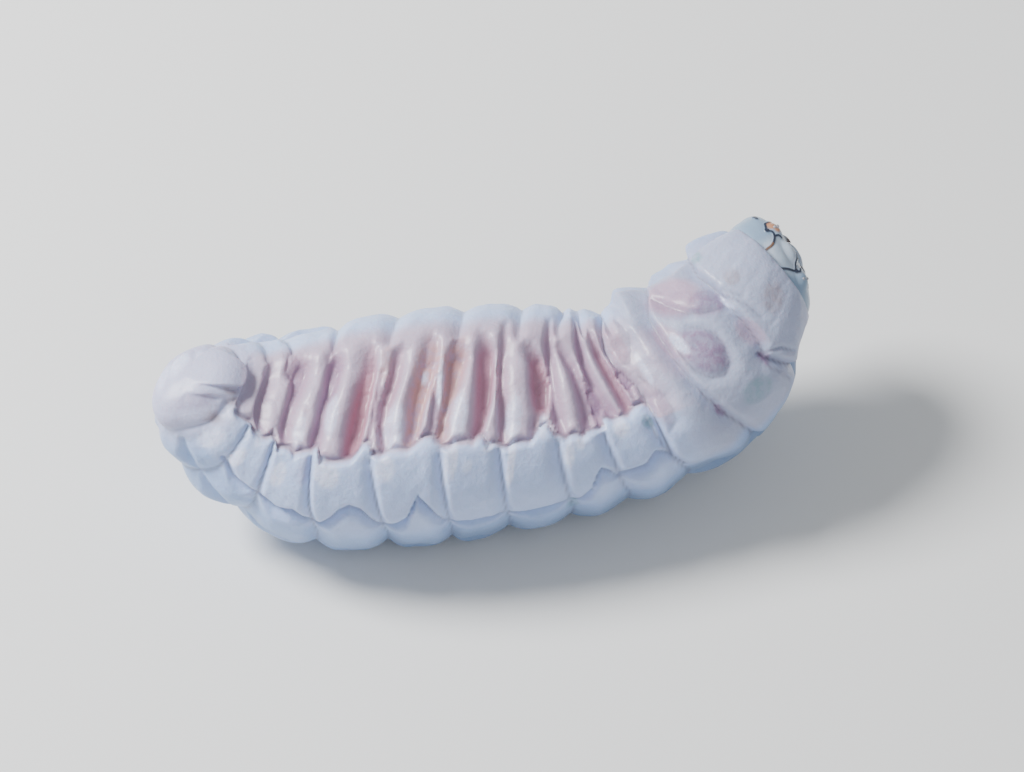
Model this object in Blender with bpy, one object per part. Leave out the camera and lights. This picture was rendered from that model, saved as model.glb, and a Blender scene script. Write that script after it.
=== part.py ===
"""Life-size museum model of a mature parasitoid wasp larva, lying on its back with the belly up.

The body is shaped in its own straight frame first: a station along it, counted in segments from
the tail tip (0) to the front of the head (14), and an angle round it, counted from the middle of
the belly towards the left side. A bent middle line then carries every point to its place.
"""
import bpy
import bmesh
import numpy as np
from math import cos, pi, radians, sin
from mathutils import Matrix, Vector

MM = 0.001

# Segments from the tail to the head: name, length, pitch and heading of the middle line at its centre
SEGMENTS = (
    ("abdomen_10", 0.72, -74, 6),
    ("abdomen_9", 0.78, -58, 2),
    ("abdomen_8", 1.02, -41, -2),
    ("abdomen_7", 1.70, -19, -2),
    ("abdomen_6", 1.72, 1, 3),
    ("abdomen_5", 1.61, 0, 6),
    ("abdomen_4", 1.44, -1, 7),
    ("abdomen_3", 1.22, -1, 8),
    ("abdomen_2", 0.96, 0, 10),
    ("abdomen_1", 1.14, 7, 13),
    ("metathorax", 1.32, 16, 19),
    ("mesothorax", 1.87, 25, 39),
    ("prothorax", 1.27, 26, 56),
    ("head", 0.70, 18, 53),
)
# Half widths at the 15 segment borders in millimetres, before the relief is laid on
HALF_WIDTHS = (0.0, 1.04, 1.52, 1.96, 2.43, 2.60, 2.62, 2.52, 2.38, 2.24, 2.12, 2.05, 1.76, 1.20, 0.0)
# Degrees that each border leans back on the left side
LEANS = (0, 0, 0, -2, 6, 10, 10.5, 12, 5.5, -2.5, -7, -7, 6, 16, 16)
BELLY_DEPTH = 0.85        # belly side half depth as a share of the half width
BACK_DEPTH = 0.83         # back side half depth as a share of the half width
TAIL_BACK = 0.12          # the same share grows by this much at the tail
ROLL = 16.5               # degrees that the belly is rolled to the left side
COLLAR = 13               # station where the prothorax ends and the head begins
COLLAR_TILT = 12          # degrees that the front of the prothorax leans forward on the belly side
GAP = 0.26                # clearance between neighbouring segments, mm
TROUGH = 0.20             # depth of the sunken middle of the belly, mm
TROUGH_SPREAD = 32        # degrees that it reaches to each side
SETTLE = 0.20             # how far the soft back is pressed flat by the floor, mm
AROUND = 50               # faces round a segment
ROWS = 9                  # rows of faces along a segment
LEAST_REACH = 0.26        # mm, the narrowest slope of a crease that these faces can show
SHARP_ANGLE = 50          # degrees

SKIN_PALE = (0.62, 0.60, 0.60, 1)
SKIN_ROSY = (0.56, 0.45, 0.47, 1)
HEAD_PALE = (0.50, 0.52, 0.53, 1)


def ease(value):
    value = np.clip(value, 0.0, 1.0)
    return value * value * (3 - 2 * value)


def curve_through(x, stations, values):
    """A smooth curve through a few values."""
    stations = np.asarray(stations, float)
    values = np.asarray(values, float)
    x = np.clip(x, stations[0], stations[-1])
    left = np.clip(np.searchsorted(stations, x, side="right") - 1, 0, len(stations) - 2)
    slope = np.gradient(values, stations)
    span = stations[left + 1] - stations[left]
    t = (x - stations[left]) / span
    start = (2 * t**3 - 3 * t**2 + 1) * values[left] + (t**3 - 2 * t**2 + t) * span * slope[left]
    end = (3 * t**2 - 2 * t**3) * values[left + 1] + (t**3 - t**2) * span * slope[left + 1]
    return start + end


class MiddleLine:
    """The bent middle line with its directions: ahead, towards the belly and towards the left side."""

    STEPS = 900

    def __init__(self):
        lengths = [length for _, length, _, _ in SEGMENTS]
        self.borders = np.concatenate([[0.0], np.cumsum(lengths)])
        middles = (self.borders[1:] + self.borders[:-1]) / 2
        self.along = np.linspace(0, self.borders[-1], self.STEPS)
        pitch = np.radians(curve_through(self.along, middles, [pitch for _, _, pitch, _ in SEGMENTS]))
        heading = np.radians(curve_through(self.along, middles, [turn for _, _, _, turn in SEGMENTS]))
        ahead = np.stack([np.cos(pitch) * np.cos(heading), np.cos(pitch) * np.sin(heading), np.sin(pitch)], 1)
        up = np.stack([-np.sin(pitch) * np.cos(heading), -np.sin(pitch) * np.sin(heading), np.cos(pitch)], 1)
        across = np.stack([-np.sin(heading), np.cos(heading), 0 * heading], 1)
        roll = radians(ROLL)
        self.ahead = ahead
        self.belly = up * cos(roll) - across * sin(roll)
        self.left = -(across * cos(roll) + up * sin(roll))
        step = self.along[1] - self.along[0]
        moves = (ahead[1:] + ahead[:-1]) / 2 * step
        self.places = np.concatenate([[[0.0, 0.0, 0.0]], np.cumsum(moves, axis=0)])

    def distance(self, station):
        return np.interp(station, np.arange(len(self.borders)), self.borders)

    def station_per_mm(self, station):
        length = SEGMENTS[min(int(station), len(SEGMENTS) - 1)][1]
        return 1.0 / length

    def read(self, values, station):
        along = self.distance(station)
        return np.stack([np.interp(along, self.along, values[:, axis]) for axis in range(3)], -1)


LINE = MiddleLine()


def half_width(station):
    """Half width of the smooth body, closed by a round tail and a round head end."""
    width = curve_through(station, np.arange(len(HALF_WIDTHS)), HALF_WIDTHS)
    tail = HALF_WIDTHS[1] * np.sqrt(np.clip(1 - (1 - np.clip(station, 0, 1))**2, 0, 1))
    return np.where(station < 1, tail, width)


# Height of the smooth swelling all round, by the angle from the middle of the belly, on the left
# side and on the right side, in millimetres
CREST_ANGLES = (0, 16, 32, 50, 68, 90, 120, 150, 180)
CREST_LEFT = (0.37, 0.40, 0.47, 0.50, 0.47, 0.42, 0.40, 0.38, 0.38)
CREST_RIGHT = (0.37, 0.40, 0.44, 0.46, 0.44, 0.42, 0.40, 0.38, 0.38)

# How far each border between two segments lies from its whole station, by the angle
BORDER_ANGLES = (-180, -120, -80, -55, -30, 0, 28, 36, 46, 58, 70, 82, 100, 120, 180)
BORDER_SHIFTS = (0, 0.05, 0.08, 0.02, -0.03, 0, -0.15, -0.11, -0.05, 0.02, 0.10, 0.18, 0.20, 0.12, 0)

RIGHT_SHIFTS = {8: 0.34, 9: 0.12}          # two borders lie further ahead on the right side
BORDER_SHARES = {1: 0.45, 2: 0.80}         # the borders at the tail are shallower

# Edges of the side plates, coarse: stations and angles
PLATE_TOP = ((0.95, 34), (2.0, 30), (3.0, 30), (4.4, 31), (4.8, 24), (5.1, 28), (5.6, 23), (6.0, 27),
             (6.5, 25), (6.9, 29), (7.3, 29), (7.6, 21), (8.0, 29), (8.6, 27), (9.0, 22), (9.4, 24),
             (9.8, 20), (10.08, 30))
PLATE_BOTTOM = ((0.95, 62), (2.0, 68), (3.0, 69), (4.2, 69), (4.6, 58), (5.0, 69), (5.4, 67), (5.6, 55),
                (6.0, 70), (7.0, 72), (8.2, 70), (8.6, 55), (9.0, 59), (9.5, 59), (9.8, 53), (10.05, 60))

# Grooves between the folds of the belly, from the right side to the plates on the left: points of
# (station, angle, half width of the floor in mm, depth in mm), then the reach of the slopes to the tail
# side and to the head side
BELLY_FOLDS = (
    (((1.21, -30, 0.06, 0.08), (1.30, -8, 0.08, 0.20), (1.28, 12, 0.08, 0.24), (1.22, 24, 0.06, 0.18)),
     (0.20, 0.34)),
    (((2.04, -36, 0.04, 0.10), (2.21, -21, 0.05, 0.20), (2.14, -6, 0.05, 0.22), (2.09, 8, 0.04, 0.22),
      (2.19, 22, 0.04, 0.22), (2.34, 28, 0.04, 0.20)), (0.34, 0.42)),
    (((2.95, -30, 0.19, 0.14), (3.27, -22, 0.17, 0.26), (3.23, -10, 0.09, 0.26), (3.15, 2, 0.04, 0.22),
      (3.12, 14, 0.03, 0.22), (3.16, 24, 0.03, 0.22)), (0.50, 0.46)),
    (((3.99, -28, 0.13, 0.14), (4.09, -21, 0.15, 0.30), (4.05, -8, 0.10, 0.32), (3.96, 2, 0.05, 0.28),
      (3.92, 13, 0.05, 0.26), (3.88, 26, 0.05, 0.26)), (0.50, 0.44)),
    (((4.77, -28, 0.05, 0.12), (4.76, -16, 0.08, 0.24), (4.71, -4, 0.09, 0.36), (4.66, 10, 0.10, 0.40),
      (4.59, 28, 0.09, 0.38)), (0.46, 0.18)),
    (((4.93, -15, 0.04, 0.12), (4.89, -1, 0.05, 0.16), (4.86, 10, 0.05, 0.16), (4.84, 20, 0.03, 0.12)),
     (0.10, 0.14)),
    (((5.13, -24, 0.05, 0.16), (5.08, -10, 0.06, 0.28), (5.00, 2, 0.06, 0.30), (4.98, 14, 0.05, 0.28),
      (5.06, 27, 0.04, 0.26)), (0.16, 0.34)),
    (((5.61, -28, 0.09, 0.14), (5.58, -16, 0.12, 0.26), (5.52, -4, 0.12, 0.32), (5.48, 7, 0.09, 0.32),
      (5.44, 24, 0.05, 0.28)), (0.34, 0.14)),
    (((5.70, -9, 0.04, 0.10), (5.73, 4, 0.05, 0.16), (5.73, 14, 0.05, 0.16), (5.70, 22, 0.03, 0.12)),
     (0.12, 0.10)),
    (((6.01, -28, 0.09, 0.14), (5.98, -20, 0.14, 0.28), (5.93, -6, 0.09, 0.32), (5.89, 4, 0.05, 0.28),
      (5.86, 14, 0.04, 0.26), (5.84, 26, 0.04, 0.24)), (0.14, 0.34)),
    (((6.42, -30, 0.05, 0.12), (6.48, -23, 0.09, 0.30), (6.51, -8, 0.11, 0.40), (6.52, 6, 0.09, 0.38),
      (6.50, 16, 0.06, 0.30), (6.46, 27, 0.04, 0.26)), (0.34, 0.14)),
    (((6.74, -38, 0.02, 0.08), (6.74, -26, 0.03, 0.16), (6.74, -13, 0.03, 0.22), (6.76, -1, 0.03, 0.26),
      (6.82, 10, 0.03, 0.26), (6.90, 28, 0.03, 0.22)), (0.13, 0.34)),
    (((7.28, -24, 0.05, 0.10), (7.48, -16, 0.10, 0.32), (7.57, -3, 0.14, 0.40), (7.60, 8, 0.10, 0.36),
      (7.58, 18, 0.04, 0.16)), (0.34, 0.14)),
    (((7.49, 14, 0.02, 0.14), (7.46, 23, 0.02, 0.20), (7.45, 29, 0.02, 0.18)), (0.20, 0.12)),
    (((7.79, -40, 0.02, 0.10), (7.72, -27, 0.03, 0.20), (7.76, -12, 0.03, 0.26), (7.81, 4, 0.03, 0.26),
      (7.89, 20, 0.03, 0.24), (7.98, 29, 0.03, 0.22)), (0.12, 0.30)),
    (((8.00, -24, 0.03, 0.12), (8.34, -12, 0.04, 0.24), (8.50, 4, 0.04, 0.28), (8.56, 18, 0.04, 0.28),
      (8.51, 28, 0.05, 0.28)), (0.30, 0.12)),
    (((8.64, -2, 0.04, 0.14), (8.76, 6, 0.08, 0.28), (8.81, 16, 0.09, 0.30), (8.82, 24, 0.05, 0.20)),
     (0.11, 0.12)),
    (((8.80, -40, 0.03, 0.12), (8.69, -27, 0.04, 0.22), (8.73, -16, 0.04, 0.26), (8.82, -4, 0.04, 0.26),
      (8.97, 9, 0.04, 0.26), (9.17, 23, 0.05, 0.26)), (0.14, 0.30)),
    (((9.31, -29, 0.04, 0.14), (9.32, -20, 0.04, 0.26), (9.42, -5, 0.04, 0.30), (9.52, 8, 0.05, 0.30),
      (9.57, 22, 0.05, 0.28)), (0.30, 0.12)),
    (((9.58, -10, 0.03, 0.10), (9.69, -2, 0.07, 0.26), (9.79, 6, 0.06, 0.26), (9.78, 14, 0.02, 0.10)),
     (0.11, 0.12)),
)

# Other creases from the right side to the left: points of (station, angle), the depth, and the reach of
# the slopes to the tail side and to the head side
SINGLE_CREASES = (
    (((10.02, 16), (10.03, 30), (10.04, 44), (10.05, 60), (10.18, 72)), 0.22, 0.34, 0.14),
    (((10.08, -70), (9.98, -50), (9.70, -34), (9.56, -22), (9.64, -10), (9.80, -2), (9.96, 8), (10.02, 18)),
     0.22, 0.16, 0.26),
    (((10.36, -39), (10.46, -28), (10.28, -17), (10.07, -8), (9.90, -8)), 0.05, 0.30, 0.24),
    (((10.14, 4), (10.32, 14), (10.42, 24), (10.36, 36), (10.14, 42)), 0.05, 0.26, 0.26),
    (((11.60, -110), (11.56, -80), (11.36, -56), (11.14, -38), (11.04, -16), (10.96, 8),
      (10.96, 22), (10.99, 32), (11.03, 44), (11.09, 58), (11.14, 80), (11.16, 102)), 0.27, 0.62, 0.20),
    (((11.14, -8), (11.09, 7), (11.12, 15), (11.20, 22), (11.34, 25), (11.50, 20), (11.60, 10), (11.65, 0),
      (11.60, -8), (11.50, -13)), 0.08, 0.30, 0.30),
    (((11.39, -48), (11.46, -41), (11.53, -32), (11.61, -24), (11.73, -19), (11.90, -14), (12.06, -12)),
     0.09, 0.34, 0.24),
    (((12.36, -115), (12.34, -90), (12.26, -66), (12.15, -49), (12.13, -28), (12.06, -10), (11.98, 10),
      (11.91, 24), (11.85, 34)), 0.27, 0.55, 0.17),
    (((11.80, 29), (11.84, 38), (11.89, 46), (11.96, 58), (12.04, 74), (12.08, 94)), 0.28, 0.20, 0.22),
    (((12.14, -20), (12.20, -10), (12.28, 2), (12.28, 14)), 0.05, 0.14, 0.14),
    (((12.20, -22), (12.27, -14), (12.34, -6)), 0.04, 0.12, 0.12),
    (((11.81, 30), (11.92, 34), (12.08, 40), (12.20, 50)), 0.09, 0.14, 0.14),
    (((11.78, 40), (11.84, 52), (11.86, 66)), 0.09, 0.16, 0.16),
)

# Broad swellings and hollows: station, angle, reach along and round, height
SWELLS = (
    (1.10, 140, 1.70, 62, 0.28),
    (2.50, 128, 0.90, 36, 0.18),
    (4.10, 112, 0.90, 22, 0.06),
    (0.90, -115, 1.20, 60, -0.16),
    (3.00, -62, 1.60, 34, -0.12),
    (5.60, 96, 0.55, 26, -0.08),
    (6.70, 92, 0.60, 26, -0.10),
    (8.95, 92, 0.40, 24, -0.08),
    (9.90, 92, 0.40, 26, -0.10),
    (10.55, 90, 0.55, 30, -0.26),
    (11.60, 94, 0.70, 26, -0.14),
    (12.40, 86, 0.80, 42, -0.52),
    (11.06, -72, 0.62, 46, 0.40),
    (11.66, -78, 0.66, 44, 0.19),
    (12.46, -84, 0.66, 44, 0.20),
    (10.70, 12, 0.50, 60, 0.08),
    (11.35, 3, 0.50, 34, 0.12),
    (12.50, 5, 0.60, 60, 0.08),
)


def sink_by(distance, depth, reach, floor=0.0):
    """How far a crease sinks the skin at some distance from its line, in millimetres."""
    reach = np.maximum(reach, LEAST_REACH)
    return depth * (1 - np.clip((np.abs(distance) - floor) / reach, 0, 1))**2


def length_at(station):
    """Millimetres along the body for one station."""
    lengths = [segment[1] for segment in SEGMENTS]
    return np.interp(station, np.arange(len(lengths)) + 0.5, lengths)


def degree_at(station):
    """Millimetres round the body for one degree."""
    return np.maximum(half_width(station), 0.4) * radians(0.96)


def border_creases(station, angle):
    shift = np.interp(angle, BORDER_ANGLES, BORDER_SHIFTS)
    depth = np.interp(np.abs(angle), (26, 32, 60, 80, 180), (0.0, 0.16, 0.18, 0.26, 0.30))
    reach = np.interp(angle, (-180, -60, -34, 34, 62, 78, 180), (0.62, 0.62, 0.40, 0.30, 0.34, 0.60, 0.62))
    right_side = ease((-angle - 34) / 24) * ease((150 + angle) / 30)
    deepest = np.zeros_like(station)
    for border in range(1, 11):
        beyond = RIGHT_SHIFTS.get(border, 0) * right_side
        distance = (station - border - shift - beyond) * length_at(station)
        share = BORDER_SHARES.get(border, 1)
        if border == 9:
            share = 1 - 0.6 * right_side
        deepest = np.maximum(deepest, sink_by(distance, depth * share, reach))
    return deepest


def back_creases(station, angle):
    """One more ring across the back of each segment."""
    distance = (station - np.floor(station) - 0.56) * length_at(station)
    depth = 0.20 * ease((np.abs(angle) - 128) / 16) * ease((station - 0.9) / 0.3)
    return sink_by(distance, depth, 0.34)


def side_creases(station, angle):
    """Edges of the side plates and of the lobes below them, along the body."""
    degree = degree_at(station)
    here = ease((station - 0.95) / 0.25)
    trunk = here * ease((10.15 - station) / 0.15)
    top = (angle - np.interp(station, *zip(*PLATE_TOP))) * degree
    bottom = (angle - np.interp(station, *zip(*PLATE_BOTTOM))) * degree
    deepest = trunk * sink_by(top, 0.20, 0.24)
    lower = trunk * ease((station - 1.75) / 0.3)
    deepest = np.maximum(deepest, lower * sink_by(bottom, 0.24, 0.34))
    for line, depth in ((104, 0.22), (143, 0.20), (-143, 0.20), (-70, 0.22), (-106, 0.20)):
        deepest = np.maximum(deepest, here * sink_by((angle - line) * degree, depth, 0.40))
    return deepest


def line_sink(station, angle, points, reaches):
    """A crease along a line of (station, angle, half width of the floor, depth)."""
    wide = length_at(station)
    high = degree_at(station)
    deepest = np.zeros_like(station)
    for (s0, a0, w0, d0), (s1, a1, w1, d1) in zip(points, points[1:]):
        start_x = (s0 - station) * wide
        start_y = (a0 - angle) * high
        dx = (s1 - s0) * wide
        dy = (a1 - a0) * high
        t = np.clip(-(start_x * dx + start_y * dy) / (dx * dx + dy * dy), 0, 1)
        away = np.hypot(start_x + t * dx, start_y + t * dy)
        ahead = dx * start_y > dy * start_x
        reach = np.where(ahead, reaches[1], reaches[0])
        deepest = np.maximum(deepest, sink_by(away, d0 + t * (d1 - d0), reach, w0 + t * (w1 - w0)))
    return deepest


def groove_creases(station, angle):
    top = np.interp(station, *zip(*PLATE_TOP))
    ends = ease((top + 1 - angle) / 3)
    sinks = [line_sink(station, angle, points, reaches) for points, reaches in BELLY_FOLDS]
    return np.maximum.reduce(sinks) * ends


def line_creases(station, angle):
    deepest = np.zeros_like(station)
    for points, depth, *reaches in SINGLE_CREASES:
        line = [(along, turn, 0.0, depth) for along, turn in points]
        deepest = np.maximum(deepest, line_sink(station, angle, line, reaches))
    return deepest


def crest_height(station, angle):
    left = curve_through(np.abs(angle), CREST_ANGLES, CREST_LEFT)
    right = curve_through(np.abs(angle), CREST_ANGLES, CREST_RIGHT)
    size = np.interp(station, (0, 1, 3, 10, 12, 13), (0.5, 0.75, 1, 1, 0.92, 0.85))
    return np.where(angle > 0, left, right) * size


def swell_height(station, angle):
    height = np.zeros_like(station)
    for middle, turn, along, around, top in SWELLS:
        x = (station - middle) / along
        y = ((angle - turn + 180) % 360 - 180) / around
        height += top * ease(1 - np.hypot(x, y))
    return height


def tail_height(station, angle):
    """The last segment: a squarish terminal lobe, a hollow beside it and a soft rim."""
    out = 0.95 * np.where(station < 1, np.arccos(1 - np.clip(station, 0, 1)), pi / 2 + 0.9 * (station - 1))
    x = out * np.cos(np.radians(angle))
    y = out * np.sin(np.radians(angle))
    reach = (np.abs((x - 0.68) / 0.70)**3 + np.abs((y + 0.10) / 0.37)**3)**(1 / 3)
    lobe = 0.15 * ease((1.08 - reach) / 0.40)
    hollow = 0.19 * ease(1 - np.hypot((x - 0.55) / 0.95, (y - 0.74) / 0.50))
    rim = 0.13 * ease(1 - np.hypot((x + 0.58) / 0.46, (y - 0.70) / 1.10))
    corner = 0.08 * ease(1 - np.hypot((x + 0.28) / 0.24, (y + 0.12) / 0.46))
    return 0.20 + lobe - hollow + rim + corner


def belly_trough(station, angle):
    """How deep the middle of the belly lies between the two rows of plates."""
    share = ease((station - 0.8) / 1.5) * ease((11.2 - station) / 1.2)
    return TROUGH * share * ease((TROUGH_SPREAD - np.abs(angle)) / 14)


def relief(station, angle):
    """Height of the skin over the smooth body, in millimetres."""
    trunk = ease((station - 0.90) / 0.12)
    height = crest_height(station, angle) * trunk + tail_height(station, angle) * (1 - trunk)
    families = (border_creases, back_creases, side_creases, groove_creases, line_creases)
    deepest = np.maximum.reduce([family(station, angle) for family in families])
    return height + swell_height(station, angle) - deepest - belly_trough(station, angle)


def ring_lean(station):
    """How far a ring of the skin leans forward on the belly side, and back on the left side."""
    tilt = COLLAR_TILT * ease((station - COLLAR + 0.7) / 0.7)
    slant = curve_through(station, np.arange(len(LEANS)), LEANS)
    return np.radians(tilt), np.radians(slant)


def body_points(station, angle, share):
    """Places on the body: a share of 1 is the skin and a share of 0 is the middle line."""
    wide = half_width(station)
    turn = np.radians(angle)
    back = BACK_DEPTH + TAIL_BACK * ease((3 - station) / 3)
    deep = wide * np.where(np.cos(turn) > 0, BELLY_DEPTH, back)
    out_left = np.sin(turn) / np.maximum(wide, 1e-6)
    out_belly = np.cos(turn) / np.maximum(deep, 1e-6)
    steep = np.hypot(out_left, out_belly)
    height = relief(station, angle)
    to_left = share * (wide * np.sin(turn) + height * out_left / steep)
    to_belly = share * (deep * np.cos(turn) + height * out_belly / steep)
    tilt, slant = ring_lean(station)
    forward = np.tan(tilt) * to_belly - np.tan(slant) * to_left
    return (LINE.read(LINE.places, station)
            + forward[:, None] * LINE.read(LINE.ahead, station)
            + to_belly[:, None] * LINE.read(LINE.belly, station)
            + to_left[:, None] * LINE.read(LINE.left, station))


def ring_stations(index):
    """Stations of the rings of one segment, closer together on the round tail tip."""
    half_gap = GAP / 2 * LINE.station_per_mm(index + 0.5)
    steps = np.linspace(0, 1, ROWS + 1)
    if index == 0:
        return (1 - half_gap) * (1 - np.cos(steps * pi / 2))**0.9 + 0.01 * (1 - steps)
    return index + half_gap + (1 - 2 * half_gap) * steps


def make_segment(index):
    """A closed tube with rings of faces, each vertex moved to its place on the bent body."""
    bm = bmesh.new()
    bmesh.ops.create_cone(bm, cap_ends=True, cap_tris=True, segments=AROUND, radius1=1, radius2=1, depth=1)
    sides = [e for e in bm.edges if abs(e.verts[0].co.z - e.verts[1].co.z) > 0.5]
    bmesh.ops.subdivide_edges(bm, edges=sides, cuts=ROWS - 1, use_grid_fill=True)
    flat = np.array([vertex.co for vertex in bm.verts])
    station = np.interp(flat[:, 2] + 0.5, np.linspace(0, 1, ROWS + 1), ring_stations(index))
    angle = np.degrees(np.arctan2(flat[:, 1], flat[:, 0]))
    share = np.hypot(flat[:, 0], flat[:, 1])
    places = body_points(station, angle, share)
    for vertex, place in zip(bm.verts, places):
        vertex.co = Vector(place)
    return bm


def new_object(name, bm, collection, material=None):
    bmesh.ops.recalc_face_normals(bm, faces=bm.faces)
    mesh = bpy.data.meshes.new(name)
    bm.to_mesh(mesh)
    bm.free()
    mesh.shade_smooth()
    mesh.set_sharp_from_angle(angle=radians(SHARP_ANGLE))
    obj = bpy.data.objects.new(name, mesh)
    collection.objects.link(obj)
    if material:
        mesh.materials.append(material)
    return obj


# Head, in millimetres and degrees: sideways is to the left, down is towards the belly
HEAD_SIZE = (1.45, 1.19, 0.79)      # half width, half depth and half length of the skull
HEAD_AHEAD = 0.14                   # how far the middle of the skull lies ahead of the collar
HEAD_SHIFT = 0.12                   # how far the skull sits to the right side of the collar
HEAD_TURN = -14.5                   # degrees that the face is turned to the left side
HEAD_SQUARENESS = 2.5               # 2 is an ellipsoid, more is boxier
HEAD_AROUND = 44
HEAD_RINGS = 30
MOUTH_DOWN = 38                     # degrees from straight ahead down to the mouth
BAR_RADIUS = 0.045                  # the dark bars of the skull
PALP_RADIUS = 0.055

# Swellings of the face: sideways, down, half width, half height, in degrees, and the height in mm
FACE = (
    (26, -48, 30, 34, 0.05),        # the two halves of the skull's back
    (-26, -48, 30, 34, 0.05),
    (0, MOUTH_DOWN - 24, 24, 8, 0.05),          # clypeus
    (0, MOUTH_DOWN - 11, 18, 8, 0.11),          # upper lip
    (0, MOUTH_DOWN, 21, 5, -0.14),              # mouth opening
    (27, MOUTH_DOWN + 15, 13, 14, 0.10),        # left and right maxilla
    (-27, MOUTH_DOWN + 15, 13, 14, 0.10),
    (0, MOUTH_DOWN + 17, 14, 13, 0.12),         # lower lip
    (0, MOUTH_DOWN + 44, 20, 20, 0.05),         # plate behind the lower lip
    (62, MOUTH_DOWN - 4, 24, 40, 0.06),         # cheeks
    (-62, MOUTH_DOWN - 4, 24, 40, 0.06),
    (31, -4, 8, 8, 0.06),           # antennal discs
    (-31, -4, 8, 8, 0.06),
)
# Routes of the dark bars as (sideways, down) pairs: on the right side and on the left side a forked
# hook that runs up beside the lower lip, with its inner arm, and the arch over the mouth
BARS = (
    ((-11, 92), (-12, 85), (-15, 76), (-20, 68), (-25, 67), (-29, 73), (-33, 70), (-37, 64), (-36, 57)),
    ((-20, 68), (-19, 61), (-16, 56)),
    ((12, 90), (14, 83), (16, 76), (19, 66), (20, 60), (17, 53)),
    ((19, 66), (15, 61), (11, 58), (6, 52), (3, 50)),
    ((-35, 42), (-29, 30), (-16, 20), (0, 16), (16, 20), (29, 30), (35, 42)),
)


def face_direction(sideways, down):
    s, v = radians(sideways), radians(down)
    return np.array([sin(s), cos(s) * sin(v), cos(s) * cos(v)])


def face_relief(directions):
    total = np.zeros(len(directions))
    for sideways, down, wide, high, height in FACE:
        s, v = radians(sideways), radians(down)
        middle = face_direction(sideways, down)
        side = np.array([cos(s), -sin(s) * sin(v), -sin(s) * cos(v)])
        lower = np.array([0.0, cos(v), -sin(v)])
        x = directions @ side / sin(radians(wide))
        y = directions @ lower / sin(radians(high))
        reach = np.sqrt(x**2 + y**2)
        swell = ease(1.15 - reach) * (directions @ middle > 0)
        total += height * swell
    return total


def head_frame():
    """Axes of the head as matrix columns: left, towards the belly, ahead; and its place."""
    station = np.array([float(COLLAR)])
    ahead = LINE.read(LINE.ahead, station)[0]
    belly = LINE.read(LINE.belly, station)[0]
    left = LINE.read(LINE.left, station)[0]
    tilt, slant = ring_lean(station)
    lower = belly + np.tan(tilt) * ahead
    lower /= np.linalg.norm(lower)
    side = left - np.tan(slant) * ahead
    out = np.cross(lower, side)
    out *= np.sign(out @ ahead) / np.linalg.norm(out)
    side = np.cross(lower, out)
    side *= np.sign(side @ left)
    return np.stack([side, lower, out], 1), LINE.read(LINE.places, station)[0]


def face_places(directions, lift=0.0):
    """Places on the skull in the head's own axes, lifted off it by some millimetres."""
    relief_here = face_relief(directions) + lift
    reach = (np.abs(directions)**HEAD_SQUARENESS).sum(1)**(-1 / HEAD_SQUARENESS)
    local = directions * reach[:, None] * np.array(HEAD_SIZE) + directions * relief_here[:, None]
    local[:, 2] += HEAD_AHEAD
    turn = radians(HEAD_TURN)
    x = local[:, 0] * cos(turn) - local[:, 2] * sin(turn) - HEAD_SHIFT
    z = local[:, 2] * cos(turn) + local[:, 0] * sin(turn)
    return np.stack([x, local[:, 1], z], 1)


def to_body(local):
    axes, place = head_frame()
    return local @ axes.T + place


def on_face(pairs, lift):
    """A smooth route over the face through (sideways, down) pairs."""
    pairs = np.array(pairs, float)
    keys = np.arange(len(pairs))
    fine = np.linspace(0, len(pairs) - 1, 3 * len(pairs))
    route = np.stack([curve_through(fine, keys, pairs[:, axis]) for axis in range(2)], 1)
    directions = np.array([face_direction(s, v) for s, v in route])
    return to_body(face_places(directions, lift))


def tube(name, points, radii, collection):
    """A closed round rod along a route, made of a bevelled curve."""
    curve = bpy.data.curves.new(name, "CURVE")
    curve.dimensions = "3D"
    curve.bevel_depth = 1
    curve.bevel_resolution = 1
    curve.use_fill_caps = True
    spline = curve.splines.new("POLY")
    spline.points.add(len(points) - 1)
    for point, place, radius in zip(spline.points, points, radii):
        point.co = (*place, 1)
        point.radius = radius
    source = bpy.data.objects.new(name + "_curve", curve)
    collection.objects.link(source)
    bpy.context.view_layer.update()
    mesh = bpy.data.meshes.new_from_object(source.evaluated_get(bpy.context.evaluated_depsgraph_get()))
    bpy.data.objects.remove(source)
    bm = bmesh.new()
    bm.from_mesh(mesh)
    bpy.data.meshes.remove(mesh)
    bmesh.ops.remove_doubles(bm, verts=bm.verts, dist=0.0005)
    return new_object(name, bm, collection)


def make_skull(collection):
    """The head capsule: a sphere shaped by the face, cut off behind the collar plane."""
    bm = bmesh.new()
    bmesh.ops.create_uvsphere(bm, u_segments=HEAD_AROUND, v_segments=HEAD_RINGS, radius=1)
    directions = np.array([vertex.co for vertex in bm.verts])
    for vertex, place in zip(bm.verts, face_places(directions)):
        vertex.co = Vector(place)
    everything = bm.verts[:] + bm.edges[:] + bm.faces[:]
    cut = bmesh.ops.bisect_plane(bm, geom=everything, plane_co=(0, 0, GAP / 2), plane_no=(0, 0, 1),
                                 clear_inner=True)
    rim = [item for item in cut["geom_cut"] if isinstance(item, bmesh.types.BMEdge)]
    bmesh.ops.contextual_create(bm, geom=rim)
    for vertex in bm.verts:
        vertex.co = Vector(to_body(np.array([vertex.co]))[0])
    return new_object("head", bm, collection)


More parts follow.
